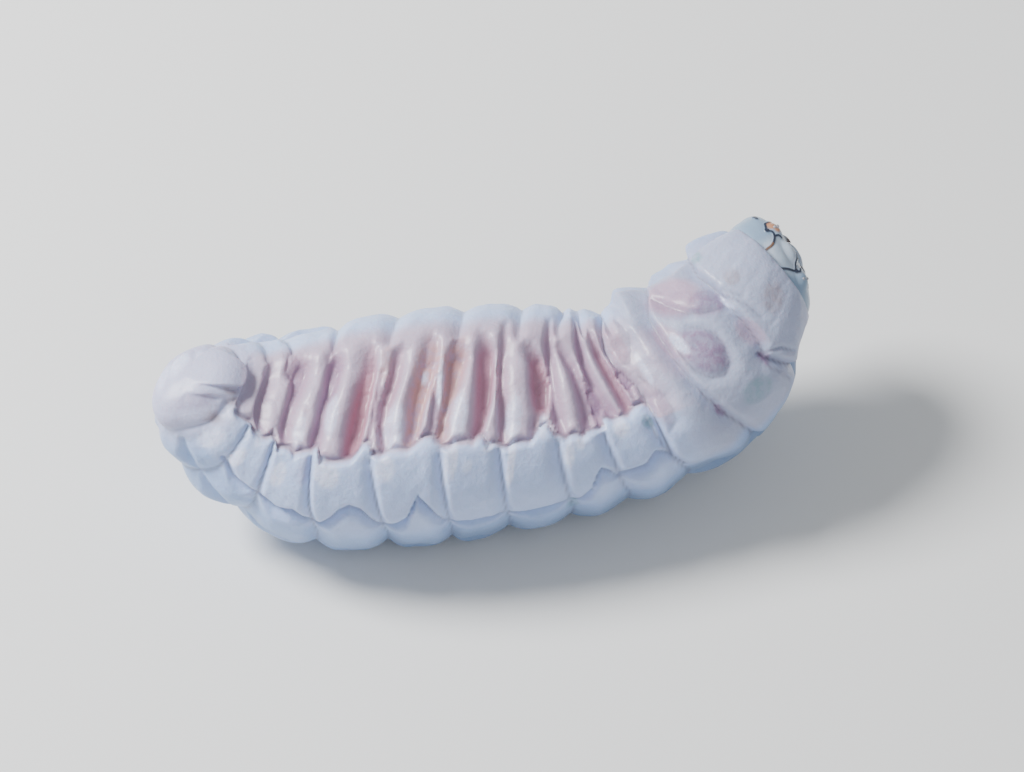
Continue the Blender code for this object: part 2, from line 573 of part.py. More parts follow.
def mouthparts(collection):
    """Mandibles, palps and the dark bars as rods sunk into the skull."""
    for number, route in enumerate(BARS):
        points = on_face(route, 0.0)
        tube(f"bar_{number}", points, [BAR_RADIUS] * len(points), collection)
    for side in (1, -1):
        route = ((side * 24, MOUTH_DOWN + 3), (side * 15, MOUTH_DOWN), (side * 4, MOUTH_DOWN - 1))
        jaw = on_face(route, 0.04)
        tube(f"mandible_{side}", jaw, np.linspace(0.12, 0.03, len(jaw)), collection)
        for down in (MOUTH_DOWN + 13, MOUTH_DOWN + 19):
            for sideways in (25, 7):
                palp = on_face(((side * sideways, down), (side * sideways, down + 0.5)), 0)
                base = palp[0]
                outward = to_body(np.array([face_direction(side * sideways, down)]))[0] - head_frame()[1]
                rod = [base - 0.06 * outward, base + 0.05 * outward]
                tube(f"palp_{side}_{down}_{sideways}", rod, [PALP_RADIUS, PALP_RADIUS * 0.8], collection)


def largest_piece(bm):
    """Leaves only the largest closed surface."""
    waiting = set(bm.verts)
    pieces = []
    while waiting:
        grown = [waiting.pop()]
        piece = set(grown)
        while grown:
            for edge in grown.pop().link_edges:
                for vertex in edge.verts:
                    if vertex in waiting:
                        waiting.remove(vertex)
                        piece.add(vertex)
                        grown.append(vertex)
        pieces.append(piece)
    pieces.sort(key=len)
    spare = [vertex for piece in pieces[:-1] for vertex in piece]
    bmesh.ops.delete(bm, geom=spare, context="VERTS")


def make_head(parts, tools):
    """The skull with its mouthparts fused on."""
    skull = make_skull(parts)
    mouthparts(tools)
    union = skull.modifiers.new("mouthparts", "BOOLEAN")
    union.operation = "UNION"
    union.operand_type = "COLLECTION"
    union.collection = tools
    union.solver = "EXACT"
    bpy.context.view_layer.update()
    fused = bpy.data.meshes.new_from_object(skull.evaluated_get(bpy.context.evaluated_depsgraph_get()))
    for piece in list(tools.objects):
        bpy.data.objects.remove(piece)
    bm = bmesh.new()
    bm.from_mesh(fused)
    bpy.data.meshes.remove(fused)
    bpy.data.objects.remove(skull)
    largest_piece(bm)
    bmesh.ops.triangulate(bm, faces=bm.faces)
    return bm


def skin(name, colour, roughness):
    material = bpy.data.materials.new(name)
    material.use_nodes = True
    shader = material.node_tree.nodes["Principled BSDF"]
    shader.inputs["Base Color"].default_value = colour
    shader.inputs["Roughness"].default_value = roughness
    shader.inputs["Metallic"].default_value = 0.0
    return material


def rest_on_floor(pieces):
    """Presses the lowest skin flat and puts the origin at the middle of the footprint."""
    lowest = min(vertex.co.z for bm in pieces for vertex in bm.verts)
    floor = lowest + SETTLE
    for bm in pieces:
        for vertex in bm.verts:
            vertex.co.z = max(vertex.co.z, floor)
    every = np.array([vertex.co for bm in pieces for vertex in bm.verts])
    middle = (every.min(0) + every.max(0)) / 2
    shift = Matrix.Translation((-middle[0], -middle[1], -floor))
    to_metres = Matrix.Scale(MM, 4)
    for bm in pieces:
        bmesh.ops.transform(bm, matrix=to_metres @ shift, verts=bm.verts)


def main():
    for obj in list(bpy.data.objects):
        bpy.data.objects.remove(obj)
    parts = bpy.data.collections.new("wasp_larva")
    tools = bpy.data.collections.new("joined_pieces")
    bpy.context.scene.collection.children.link(parts)
    bpy.context.scene.collection.children.link(tools)
    names = [segment[0] for segment in SEGMENTS]
    pieces = [make_segment(index) for index in range(COLLAR)]
    pieces.append(make_head(parts, tools))
    rest_on_floor(pieces)
    finishes = {
        "head": skin("head_capsule", HEAD_PALE, 0.38),
        "thorax": skin("thorax_skin", SKIN_PALE, 0.42),
        "abdomen": skin("abdomen_skin", SKIN_ROSY, 0.40),
    }
    for name, bm in zip(names, pieces):
        kind = name.split("_")[0]
        new_object(name, bm, parts, finishes[kind] if kind in finishes else finishes["thorax"])


main()
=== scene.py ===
from math import cos, pi, radians, sin
import bpy
import bmesh
import numpy as np
from mathutils import Matrix, Vector


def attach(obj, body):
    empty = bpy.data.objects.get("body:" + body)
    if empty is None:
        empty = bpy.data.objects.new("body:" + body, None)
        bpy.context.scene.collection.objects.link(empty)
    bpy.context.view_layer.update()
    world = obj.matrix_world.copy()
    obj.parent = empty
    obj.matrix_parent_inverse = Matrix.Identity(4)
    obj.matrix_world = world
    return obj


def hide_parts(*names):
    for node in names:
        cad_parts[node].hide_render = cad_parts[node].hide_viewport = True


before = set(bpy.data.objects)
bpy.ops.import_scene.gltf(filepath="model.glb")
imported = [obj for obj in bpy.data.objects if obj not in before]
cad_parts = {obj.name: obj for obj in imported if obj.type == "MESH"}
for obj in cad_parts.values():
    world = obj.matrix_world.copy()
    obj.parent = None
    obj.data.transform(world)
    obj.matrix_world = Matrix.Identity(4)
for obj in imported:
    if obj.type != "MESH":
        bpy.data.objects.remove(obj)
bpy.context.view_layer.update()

# A larva's skin is laid out by two numbers: the station along the body, counted in segments from the
# tail tip (0) to the collar (13), and the angle round it in degrees from the middle of the belly
# towards the left side. Heights and lengths are in millimetres until the mesh is scaled to metres.
mm = 0.001

body = {
    # name, length, pitch and heading of the middle line at the segment's centre
    "segments": (
        ("abdomen_10", 0.72, -74, 6),
        ("abdomen_9", 0.78, -58, 2),
        ("abdomen_8", 1.02, -41, -2),
        ("abdomen_7", 1.70, -19, -2),
        ("abdomen_6", 1.72, 1, 3),
        ("abdomen_5", 1.61, 0, 6),
        ("abdomen_4", 1.44, -1, 7),
        ("abdomen_3", 1.22, -1, 8),
        ("abdomen_2", 0.96, 0, 10),
        ("abdomen_1", 1.14, 7, 13),
        ("metathorax", 1.32, 16, 19),
        ("mesothorax", 1.87, 25, 39),
        ("prothorax", 1.27, 26, 56),
        ("head", 0.70, 18, 53),
    ),
    "halfWidths": (0.0, 1.04, 1.52, 1.96, 2.43, 2.60, 2.62, 2.52, 2.38, 2.24, 2.12, 2.05, 1.76, 1.20, 0.0),
    # degrees that each border between segments leans back on the left side
    "leans": (0, 0, 0, -2, 6, 10, 10.5, 12, 5.5, -2.5, -7, -7, 6, 16, 16),
    "bellyDepth": 0.85,
    "backDepth": 0.83,
    "tailBack": 0.12,
    "roll": 16.5,
    "collar": 13,
    "collarTilt": 12,
    "trough": 0.20,
    "troughSpread": 32,
    "tailTip": (-7.1292, -0.9645, 4.9557),       # its place in the CAD frame
}


def ease(value):
    value = np.clip(value, 0.0, 1.0)
    return value * value * (3 - 2 * value)


def curveThrough(x, stations, values):
    stations = np.asarray(stations, float)
    values = np.asarray(values, float)
    x = np.clip(x, stations[0], stations[-1])
    left = np.clip(np.searchsorted(stations, x, side="right") - 1, 0, len(stations) - 2)
    slope = np.gradient(values, stations)
    span = stations[left + 1] - stations[left]
    t = (x - stations[left]) / span
    start = (2 * t**3 - 3 * t**2 + 1) * values[left] + (t**3 - 2 * t**2 + t) * span * slope[left]
    end = (3 * t**2 - 2 * t**3) * values[left + 1] + (t**3 - t**2) * span * slope[left + 1]
    return start + end


class MiddleLine:            # the bent line that the body is laid along
    steps = 900

    def __init__(self):
        segments = body["segments"]
        self.borders = np.concatenate([[0.0], np.cumsum([length for _, length, _, _ in segments])])
        middles = (self.borders[1:] + self.borders[:-1]) / 2
        self.along = np.linspace(0, self.borders[-1], self.steps)
        pitch = np.radians(curveThrough(self.along, middles, [pitch for _, _, pitch, _ in segments]))
        heading = np.radians(curveThrough(self.along, middles, [turn for _, _, _, turn in segments]))
        flat = 0 * heading
        ahead = np.stack([np.cos(pitch) * np.cos(heading), np.cos(pitch) * np.sin(heading), np.sin(pitch)], 1)
        up = np.stack([-np.sin(pitch) * np.cos(heading), -np.sin(pitch) * np.sin(heading), np.cos(pitch)], 1)
        across = np.stack([-np.sin(heading), np.cos(heading), flat], 1)
        roll = radians(body["roll"])
        self.ahead = ahead
        self.belly = up * cos(roll) - across * sin(roll)
        self.left = -(across * cos(roll) + up * sin(roll))
        step = self.along[1] - self.along[0]
        moves = (ahead[1:] + ahead[:-1]) / 2 * step
        self.places = np.concatenate([[[0.0, 0.0, 0.0]], np.cumsum(moves, axis=0)])

    def distance(self, station):
        return np.interp(station, np.arange(len(self.borders)), self.borders)

    def station(self, distance):
        return np.interp(distance, self.borders, np.arange(len(self.borders)))

    def read(self, values, station):
        along = self.distance(station)
        return np.stack([np.interp(along, self.along, values[:, axis]) for axis in range(3)], -1)


line = MiddleLine()


def halfWidth(station):
    widths = body["halfWidths"]
    width = curveThrough(station, np.arange(len(widths)), widths)
    rounded = widths[1] * np.sqrt(np.clip(1 - (1 - np.clip(station, 0, 1))**2, 0, 1))
    return np.where(station < 1, rounded, width)


def noise(places, size, seed):      # smooth noise from -1 to 1, size is a cell in millimetres
    table = np.random.default_rng(seed).uniform(-1, 1, (32, 32, 32))
    spot = places / size
    cell = np.floor(spot).astype(int)
    part = ease(spot - cell)
    total = np.zeros(len(places))
    for corner in np.ndindex(2, 2, 2):
        weight = np.prod(np.where(corner, part, 1 - part), axis=1)
        x, y, z = ((cell + corner) % 32).T
        total += weight * table[x, y, z]
    return total


# Relief: a soft swelling all round, less the creases drawn on it. Every crease sinks the skin by its
# depth along its own line and the skin rises from it on both sides over its reach, both in millimetres.
crest = {
    "angles": (0, 16, 32, 50, 68, 90, 120, 150, 180),
    "near": (0.37, 0.40, 0.47, 0.50, 0.47, 0.42, 0.40, 0.38, 0.38),
    "far": (0.37, 0.40, 0.44, 0.46, 0.44, 0.42, 0.40, 0.38, 0.38),
}

# Each border between two segments, as its distance from the whole station by the angle
borderShift = {
    "angles": (-180, -120, -80, -55, -30, 0, 28, 36, 46, 58, 70, 82, 100, 120, 180),
    "near": (0, 0.05, 0.08, 0.02, -0.03, 0, -0.15, -0.11, -0.05, 0.02, 0.10, 0.18, 0.20, 0.12, 0),
}

# Upper edge of the side plates on the left: station and angle of its teeth and notches
plateTop = (
    (0.95, 36), (1.05, 33), (1.40, 32), (1.75, 30), (1.95, 28), (2.03, 31), (2.20, 32), (2.45, 32),
    (2.60, 30), (2.75, 27), (2.92, 28), (3.02, 32), (3.18, 29.5), (3.30, 29.5), (3.45, 31.5), (3.56, 29),
    (3.72, 27.5), (3.84, 27), (3.95, 24), (3.99, 26), (4.05, 31), (4.25, 31.5), (4.42, 31), (4.60, 30),
    (4.68, 27), (4.74, 23), (4.80, 21.5), (4.86, 23), (4.90, 28), (5.02, 29), (5.12, 27), (5.25, 27),
    (5.40, 27.5), (5.46, 26), (5.54, 23.5), (5.62, 21.5), (5.71, 21.5), (5.80, 24.5), (5.88, 27),
    (5.98, 28), (6.12, 26.5), (6.30, 26.5), (6.40, 27.5), (6.46, 25), (6.54, 24), (6.60, 26), (6.68, 29),
    (6.78, 28), (6.88, 29.5), (7.00, 30.5), (7.10, 29), (7.26, 28.5), (7.40, 29), (7.48, 25.5), (7.58, 21.5),
    (7.66, 20.5), (7.73, 23), (7.82, 27.5), (7.90, 28), (8.02, 30), (8.12, 28), (8.26, 28), (8.38, 30.5),
    (8.47, 28), (8.62, 27), (8.78, 27.5), (8.88, 26.5), (8.94, 22), (9.02, 21.5), (9.12, 23.5), (9.22, 24.5),
    (9.38, 23.5), (9.50, 24.5), (9.60, 22), (9.74, 19.5), (9.90, 19.5), (10.0, 22), (10.08, 30),
)
plateBottom = (
    (0.95, 62), (1.10, 67), (1.50, 70), (1.95, 68), (2.10, 67), (2.50, 71), (2.95, 69), (3.10, 68),
    (3.45, 70), (3.75, 66), (4.00, 69), (4.22, 69.5), (4.36, 65), (4.48, 59.5), (4.62, 56.5), (4.78, 59),
    (4.93, 65), (5.04, 69), (5.30, 70), (5.46, 66), (5.52, 58), (5.58, 52.5), (5.70, 57), (5.86, 64),
    (6.00, 70), (6.50, 73), (7.00, 71), (7.50, 73), (8.00, 71), (8.30, 70), (8.48, 65), (8.57, 57),
    (8.68, 52.5), (8.86, 55.5), (8.98, 60), (9.05, 58), (9.30, 59), (9.56, 59), (9.66, 56), (9.80, 52.5),
    (9.95, 54.5), (10.05, 60),
)

# Grooves between the folds of the belly, from the far side to the plates: points of (station, angle, half
# width, depth), how far the skin rises towards the tail and the head, tint and its strength. The tint
# follows the groove's depth: partly the skin's colour, partly painted shade in the groove.
bellyFolds = (
    (((1.21, -30, 0.06, 0.08), (1.30, -8, 0.08, 0.20), (1.28, 12, 0.08, 0.24), (1.22, 24, 0.06, 0.18)),
     (0.20, 0.34), "violet", 0.35),
    (((2.04, -36, 0.04, 0.10), (2.21, -21, 0.05, 0.20), (2.14, -6, 0.05, 0.22), (2.09, 8, 0.04, 0.22),
      (2.19, 22, 0.04, 0.22), (2.34, 28, 0.04, 0.20)), (0.34, 0.42), "violet", 0.35),
    (((2.95, -30, 0.19, 0.14), (3.27, -22, 0.17, 0.26), (3.23, -10, 0.09, 0.26), (3.15, 2, 0.04, 0.22),
      (3.12, 14, 0.03, 0.22), (3.16, 24, 0.03, 0.22)), (0.50, 0.46), "violet", 0.55),
    (((3.99, -28, 0.13, 0.14), (4.09, -21, 0.15, 0.30), (4.05, -8, 0.10, 0.32), (3.96, 2, 0.05, 0.28),
      (3.92, 13, 0.05, 0.26), (3.88, 26, 0.05, 0.26)), (0.50, 0.44), "violet", 0.60),
    (((4.77, -28, 0.05, 0.12), (4.76, -16, 0.08, 0.24), (4.71, -4, 0.09, 0.36), (4.66, 10, 0.10, 0.40),
      (4.59, 28, 0.09, 0.38)), (0.46, 0.18), "red", 0.75),
    (((4.93, -15, 0.04, 0.12), (4.89, -1, 0.05, 0.16), (4.86, 10, 0.05, 0.16), (4.84, 20, 0.03, 0.12)),
     (0.10, 0.14), "red", 0.35),
    (((5.13, -24, 0.05, 0.16), (5.08, -10, 0.06, 0.28), (5.00, 2, 0.06, 0.30), (4.98, 14, 0.05, 0.28),
      (5.06, 27, 0.04, 0.26)), (0.16, 0.34), "red", 0.45),
    (((5.61, -28, 0.09, 0.14), (5.58, -16, 0.12, 0.26), (5.52, -4, 0.12, 0.32), (5.48, 7, 0.09, 0.32),
      (5.44, 24, 0.05, 0.28)), (0.34, 0.14), "orange", 0.75),
    (((5.70, -9, 0.04, 0.10), (5.73, 4, 0.05, 0.16), (5.73, 14, 0.05, 0.16), (5.70, 22, 0.03, 0.12)),
     (0.12, 0.10), "violet", 0.40),
    (((6.01, -28, 0.09, 0.14), (5.98, -20, 0.14, 0.28), (5.93, -6, 0.09, 0.32), (5.89, 4, 0.05, 0.28),
      (5.86, 14, 0.04, 0.26), (5.84, 26, 0.04, 0.24)), (0.14, 0.34), "orange", 0.70),
    (((6.42, -30, 0.05, 0.12), (6.48, -23, 0.09, 0.30), (6.51, -8, 0.11, 0.40), (6.52, 6, 0.09, 0.38),
      (6.50, 16, 0.06, 0.30), (6.46, 27, 0.04, 0.26)), (0.34, 0.14), "red", 0.62),
    (((6.74, -38, 0.02, 0.08), (6.74, -26, 0.03, 0.16), (6.74, -13, 0.03, 0.22), (6.76, -1, 0.03, 0.26),
      (6.82, 10, 0.03, 0.26), (6.90, 28, 0.03, 0.22)), (0.13, 0.34), "red", 0.35),
    (((7.28, -24, 0.05, 0.10), (7.48, -16, 0.10, 0.32), (7.57, -3, 0.14, 0.40), (7.60, 8, 0.10, 0.36),
      (7.58, 18, 0.04, 0.16)), (0.34, 0.14), "red", 0.60),
    (((7.49, 14, 0.02, 0.14), (7.46, 23, 0.02, 0.20), (7.45, 29, 0.02, 0.18)), (0.20, 0.12), "brown", 0.35),
    (((7.79, -40, 0.02, 0.10), (7.72, -27, 0.03, 0.20), (7.76, -12, 0.03, 0.26), (7.81, 4, 0.03, 0.26),
      (7.89, 20, 0.03, 0.24), (7.98, 29, 0.03, 0.22)), (0.19, 0.30), "violet", 0.40),
    (((8.00, -24, 0.03, 0.12), (8.34, -12, 0.04, 0.24), (8.50, 4, 0.04, 0.28), (8.56, 18, 0.04, 0.28),
      (8.51, 28, 0.05, 0.28)), (0.30, 0.21), "violet", 0.40),
    (((8.64, -2, 0.04, 0.14), (8.76, 6, 0.10, 0.26), (8.84, 16, 0.12, 0.27), (8.88, 24, 0.09, 0.22)),
     (0.17, 0.18), "violet", 0.95),
    (((8.80, -40, 0.03, 0.12), (8.69, -27, 0.04, 0.22), (8.73, -16, 0.04, 0.26), (8.82, -4, 0.04, 0.26),
      (8.97, 9, 0.04, 0.26), (9.17, 23, 0.05, 0.26)), (0.21, 0.30), "violet", 0.45),
    (((9.31, -29, 0.04, 0.14), (9.32, -20, 0.04, 0.26), (9.42, -5, 0.04, 0.30), (9.52, 8, 0.05, 0.30),
      (9.57, 22, 0.05, 0.28)), (0.30, 0.21), "red", 0.50),
    (((9.58, -10, 0.03, 0.10), (9.69, -2, 0.08, 0.24), (9.79, 6, 0.08, 0.24), (9.80, 14, 0.04, 0.12)),
     (0.17, 0.18), "violet", 0.90),
)

# Single creases from the far side to the near side: points of (station, angle), depth, and how far the skin
# rises from it towards the tail and the head
singleCreases = (
    (((10.02, 16), (10.03, 30), (10.04, 44), (10.05, 60), (10.18, 72)), 0.22, 0.34, 0.14),
    (((10.08, -70), (9.98, -50), (9.70, -34), (9.56, -22), (9.64, -10), (9.80, -2), (9.96, 8), (10.02, 18)),
     0.22, 0.25, 0.26),
    (((10.36, -39), (10.46, -28), (10.28, -17), (10.07, -8), (9.90, -8)), 0.05, 0.30, 0.24),
    (((10.14, 4), (10.32, 14), (10.42, 24), (10.36, 36), (10.14, 42)), 0.05, 0.26, 0.26),
    (((11.60, -110), (11.56, -80), (11.36, -56), (11.14, -38), (11.04, -16), (10.96, 8),
      (10.96, 22), (10.99, 32), (11.03, 44), (11.09, 58), (11.14, 80), (11.16, 102)), 0.27, 0.62, 0.20),
    (((11.14, -8), (11.09, 7), (11.12, 15), (11.20, 22), (11.34, 25), (11.50, 20), (11.60, 10), (11.65, 0),
      (11.60, -8), (11.50, -13)), 0.08, 0.30, 0.30),
    (((11.39, -48), (11.46, -41), (11.53, -32), (11.61, -24), (11.73, -19), (11.90, -14), (12.06, -12)),
     0.09, 0.34, 0.24),
    (((12.36, -115), (12.34, -90), (12.26, -66), (12.15, -49), (12.13, -28), (12.06, -10), (11.98, 10),
      (11.91, 24), (11.85, 34)), 0.27, 0.55, 0.17),
    (((11.80, 29), (11.84, 38), (11.89, 46), (11.96, 58), (12.04, 74), (12.08, 94)), 0.28, 0.20, 0.22),
    (((12.14, -20), (12.20, -10), (12.28, 2), (12.28, 14)), 0.05, 0.14, 0.14),
    (((12.20, -22), (12.27, -14), (12.34, -6)), 0.04, 0.12, 0.12),
    (((11.81, 30), (11.92, 34), (12.08, 40), (12.20, 50)), 0.09, 0.14, 0.14),
    (((11.78, 40), (11.84, 52), (11.86, 66)), 0.09, 0.16, 0.16),
)

# Broad swellings and hollows that set the outline: station, angle, reach along and round, height
swells = (
    (1.10, 140, 1.70, 62, 0.28),
    (2.50, 128, 0.90, 36, 0.18),
    (4.10, 112, 0.90, 22, 0.06),
    (0.90, -115, 1.20, 60, -0.16),
    (3.00, -62, 1.60, 34, -0.12),
    (5.60, 96, 0.55, 26, -0.08),
    (6.70, 92, 0.60, 26, -0.10),
    (8.95, 92, 0.40, 24, -0.08),
    (9.90, 92, 0.40, 26, -0.10),
    (10.55, 90, 0.55, 30, -0.26),
    (11.60, 94, 0.70, 26, -0.14),
    (12.40, 86, 0.80, 42, -0.52),
    (11.06, -72, 0.62, 46, 0.40),
    (11.66, -78, 0.66, 44, 0.19),
    (12.46, -84, 0.66, 44, 0.20),
    (10.70, 12, 0.50, 60, 0.08),
    (11.35, 3, 0.50, 34, 0.12),
    (12.50, 5, 0.60, 60, 0.08),
)


def sinkBy(distance, depth, reach, floor=0.0):      # how far a crease sinks the skin at a distance from it
    away = np.sqrt(distance**2 + 0.03**2) - 0.03
    return depth * (1 - np.clip((away - floor) / reach, 0, 1))**2


def lengthAt(station):       # millimetres along the body for one station
    lengths = [segment[1] for segment in body["segments"]]
    return np.interp(station, np.arange(len(lengths)) + 0.5, lengths)


def degreeAt(station):       # millimetres round the body for one degree
    return np.maximum(halfWidth(station), 0.4) * radians(0.96)


def borderCreases(station, angle):
    shift = np.interp(angle, borderShift["angles"], borderShift["near"])
    sink = np.interp(np.abs(angle), (26, 32, 60, 80, 180), (0.0, 0.16, 0.18, 0.26, 0.30))
    tailward = np.interp(angle, (-180, -60, -34, 34, 62, 78, 180), (0.62, 0.62, 0.40, 0.34, 0.34, 0.60, 0.62))
    headward = np.interp(angle, (-180, -60, -34, 34, 62, 78, 180), (0.62, 0.62, 0.40, 0.12, 0.16, 0.60, 0.62))
    farSide = ease((-angle - 34) / 24) * ease((150 + angle) / 30)
    total, thin = np.zeros_like(station), np.zeros_like(station)
    for border in range(1, 11):
        beyond = {8: 0.34, 9: 0.12}.get(border, 0) * farSide
        distance = (station - border - shift - beyond) * lengthAt(station)
        deep = sink * {1: 0.45, 2: 0.8, 9: 1 - 0.6 * farSide}.get(border, 1)
        total = np.maximum(total, sinkBy(distance, deep, np.where(distance < 0, tailward, headward)))
        thin = np.maximum(thin, ease(1 - np.abs(distance) / 0.06) * ease(deep / 0.12) * (border > 1))
    return total, thin


def backCreases(station, angle):
    distance = (station - np.floor(station) - 0.56) * lengthAt(station)
    sink = 0.20 * ease((np.abs(angle) - 128) / 16) * ease((station - 0.9) / 0.3)
    return sinkBy(distance, sink, 0.34)


def sideCreases(station, angle):     # edges of the plates and lobes, along the body
    round1 = degreeAt(station)
    here = ease((station - 0.95) / 0.25)
    trunk = here * ease((10.15 - station) / 0.15)
    top = (angle - np.interp(station, *zip(*plateTop))) * round1
    bottom = (angle - np.interp(station, *zip(*plateBottom))) * round1
    total = trunk * np.where(top > 0, sinkBy(top, 0.20, 0.13), sinkBy(top, 0.20, 0.24))
    lower = trunk * ease((station - 1.75) / 0.3)
    under = np.where(bottom > 0, sinkBy(bottom, 0.24, 0.34), sinkBy(bottom, 0.24, 0.16))
    total = np.maximum(total, lower * under)
    lobes = ((angle - 104, 0.22), (np.abs(angle) - 143, 0.20), (angle + 70, 0.22), (angle + 106, 0.20))
    for away, depth in lobes:
        total = np.maximum(total, here * sinkBy(away * round1, depth, 0.40))
    thin = trunk * ease(1 - np.abs(top + 0.03) / 0.09)
    return total, np.maximum(thin, lower * 0.6 * ease(1 - np.abs(bottom - 0.02) / 0.08))


# Distance to a straight piece of a line, the share along it, and whether the place lies on its head side
def fromPiece(x, y, start, end, wide=1.0, high=1.0):
    startX, startY = (start[0] - x) * wide, (start[1] - y) * high
    dx, dy = (end[0] - start[0]) * wide, (end[1] - start[1]) * high
    t = np.clip(-(startX * dx + startY * dy) / (dx * dx + dy * dy), 0, 1)
    return np.hypot(startX + t * dx, startY + t * dy), t, dx * startY > dy * startX


def foldCreases(station, angle):     # the grooves of the belly and their tints, partly painted shade
    top = np.interp(station, *zip(*plateTop))
    ends = ease((top + 1 - angle) / 3)
    length, round1 = lengthAt(station), degreeAt(station)
    total = np.zeros_like(station)
    tints = {name: np.zeros_like(station) for name in ("violet", "red", "orange", "brown")}
    for points, (tailward, headward), tint, strength in bellyFolds:
        groove = np.zeros_like(station)
        for start, end in zip(points, points[1:]):
            away, t, headSide = fromPiece(station, angle, start, end, length, round1)
            reach = np.where(headSide, headward, tailward)
            (_, _, w0, d0), (_, _, w1, d1) = start, end
            groove = np.maximum(groove, sinkBy(away, d0 + t * (d1 - d0), reach, w0 + t * (w1 - w0)))
        total = np.maximum(total, groove * ends)
        # the tint grows with the groove's depth: painted shade on top of the skin's own tint
        tints[tint] = np.maximum(tints[tint], strength * np.clip(groove / 0.28, 0, 1) * ends)
    return total, tints


def lineDistance(x, y, points):
    return np.minimum.reduce([fromPiece(x, y, start, end)[0] for start, end in zip(points, points[1:])])


def lineSink(station, angle, points, depth, reaches):      # a crease along a line of (station, angle) points
    wide, high = lengthAt(station), degreeAt(station)
    near, sink = np.full_like(station, 1e3), np.zeros_like(station)
    for start, end in zip(points, points[1:]):
        away, _, headSide = fromPiece(station, angle, start, end, wide, high)
        reach = np.where(headSide, reaches[1], reaches[0])
        sink = np.maximum(sink, sinkBy(away, depth, reach))
        near = np.minimum(near, away)
    return near, sink


def softBump(station, angle, middle, turn, along, around):
    x, y = (station - middle) / along, ((angle - turn + 180) % 360 - 180) / around
    return ease(1 - np.hypot(x, y))


def crestHeight(station, angle):
    side = np.where(angle > 0, curveThrough(np.abs(angle), crest["angles"], crest["near"]),
                    curveThrough(np.abs(angle), crest["angles"], crest["far"]))
    size = np.interp(station, (0, 1, 3, 10, 12, 13), (0.5, 0.75, 1, 1, 0.92, 0.85))
    return side * size


def outlineSwells(station, angle):
    total = np.zeros_like(station)
    for middle, turn, along, around, height in swells:
        total += height * softBump(station, angle, middle, turn, along, around)
    return total


# Forms of the last segment. Places are on the tail plane: millimetres from the tip over the skin, to the
# belly and to the left.
tail = {
    "lift": 0.20,
    "curve": 0.95,                       # radius that the plane is rolled off from
    "lobe": (0.68, -0.10, 0.70, 0.37),   # middle and half sizes of the squarish terminal lobe
    "lobeHeight": 0.19,
    "forms": (                           # middle, half sizes, height
        (0.55, 0.74, 0.95, 0.50, -0.15),     # hollow beside the lobe
        (-0.58, 0.70, 0.46, 1.10, 0.13),     # soft rim
        (-0.28, -0.12, 0.24, 0.46, 0.08),
        (-0.60, 0.05, 0.20, 0.40, 0.05),
    ),
    "creases": (                         # points, depth, reach
        (((-0.10, -0.50), (-0.02, -0.10), (-0.12, 0.34)), 0.08, 0.15),
        (((0.10, -0.45), (0.24, -0.80), (0.40, -1.40)), 0.08, 0.24),
        (((-0.05, 0.50), (0.30, 0.62), (0.75, 0.66)), 0.06, 0.15),
    ),
}


def tailPlane(station, angle):
    turned = np.where(station < 1, np.arccos(1 - np.clip(station, 0, 1)), pi / 2 + 0.9 * (station - 1))
    out = tail["curve"] * turned
    return out * np.cos(np.radians(angle)), out * np.sin(np.radians(angle))


def tailRelief(station, angle):
    x, y = tailPlane(station, angle)
    right, down, wide, high = tail["lobe"]
    reach = (np.abs((x - right) / wide)**3 + np.abs((y - down) / high)**3)**(1 / 3)
    total = tail["lift"] + tail["lobeHeight"] * ease((1.08 - reach) / 0.30)
    total = total - sinkBy((reach - 1.16) * 0.5, 0.05, 0.16)
    for right, down, wide, high, height in tail["forms"]:
        total = total + height * ease(1 - np.hypot((x - right) / wide, (y - down) / high))
    for points, depth, creaseReach in tail["creases"]:
        total = total - sinkBy(lineDistance(x, y, points), depth, creaseReach)
    return total


def bellyTrough(station, angle):
    share = ease((station - 0.8) / 1.5) * ease((11.2 - station) / 1.2)
    return body["trough"] * share * ease((body["troughSpread"] - np.abs(angle)) / 14)


def creaseSinks(station, angle):     # how far each family of creases sinks the skin
    belly, tints = foldCreases(station, angle)
    border, borderLine = borderCreases(station, angle)
    side, sideLine = sideCreases(station, angle)
    sinks = {
        "border": border,
        "back": backCreases(station, angle),
        "side": side,
        "belly": belly,
        "single": np.zeros_like(station),
    }
    thin = np.zeros_like(station)
    for points, depth, *reaches in singleCreases:
        near, sink = lineSink(station, angle, points, depth, reaches)
        sinks["single"] = np.maximum(sinks["single"], sink)
        thin = np.maximum(thin, min(1, 0.35 + 3 * depth) * ease(1 - near / 0.055))
    # the thin lines along the creases are later painted dark as shade
    tints["thin"] = np.maximum(thin, np.maximum(0.7 * borderLine, 0.8 * sideLine))
    return sinks, tints


# How far noise bends the creases and lifts the skin: amount, cell in millimetres, seed
uneven = {
    "station": ((0.020, 1.1, 1), (0.004, 0.4, 2)),
    "angle": ((1.3, 1.0, 3), (0.3, 0.4, 4)),
    "height": ((0.022, 0.75, 5), (0.012, 0.3, 6), (0.005, 0.14, 7)),
}


def unevenBy(kind, spread):
    return sum(amount * noise(spread, size, seed) for amount, size, seed in uneven[kind])


def skinHeight(station, angle):
    spread = np.stack([line.distance(station), angle * 0.042, 0 * angle], 1)
    warpedStation = station + unevenBy("station", spread)
    warpedAngle = angle + unevenBy("angle", spread)
    trunk = ease((station - 0.90) / 0.12)
    warpedStation = station + (warpedStation - station) * trunk
    sinks, tints = creaseSinks(warpedStation, warpedAngle)
    deepest = np.maximum.reduce(list(sinks.values()))
    height = crestHeight(station, angle) * trunk + tailRelief(station, angle) * (1 - trunk) - deepest
    height = height + outlineSwells(station, angle)
    height = height + unevenBy("height", spread) * trunk - bellyTrough(station, angle)
    return height, sinks, tints


def ringLean(station):
    tilt = body["collarTilt"] * ease((station - body["collar"] + 0.7) / 0.7)
    lean = curveThrough(station, np.arange(len(body["leans"])), body["leans"])
    return np.radians(tilt), np.radians(lean)


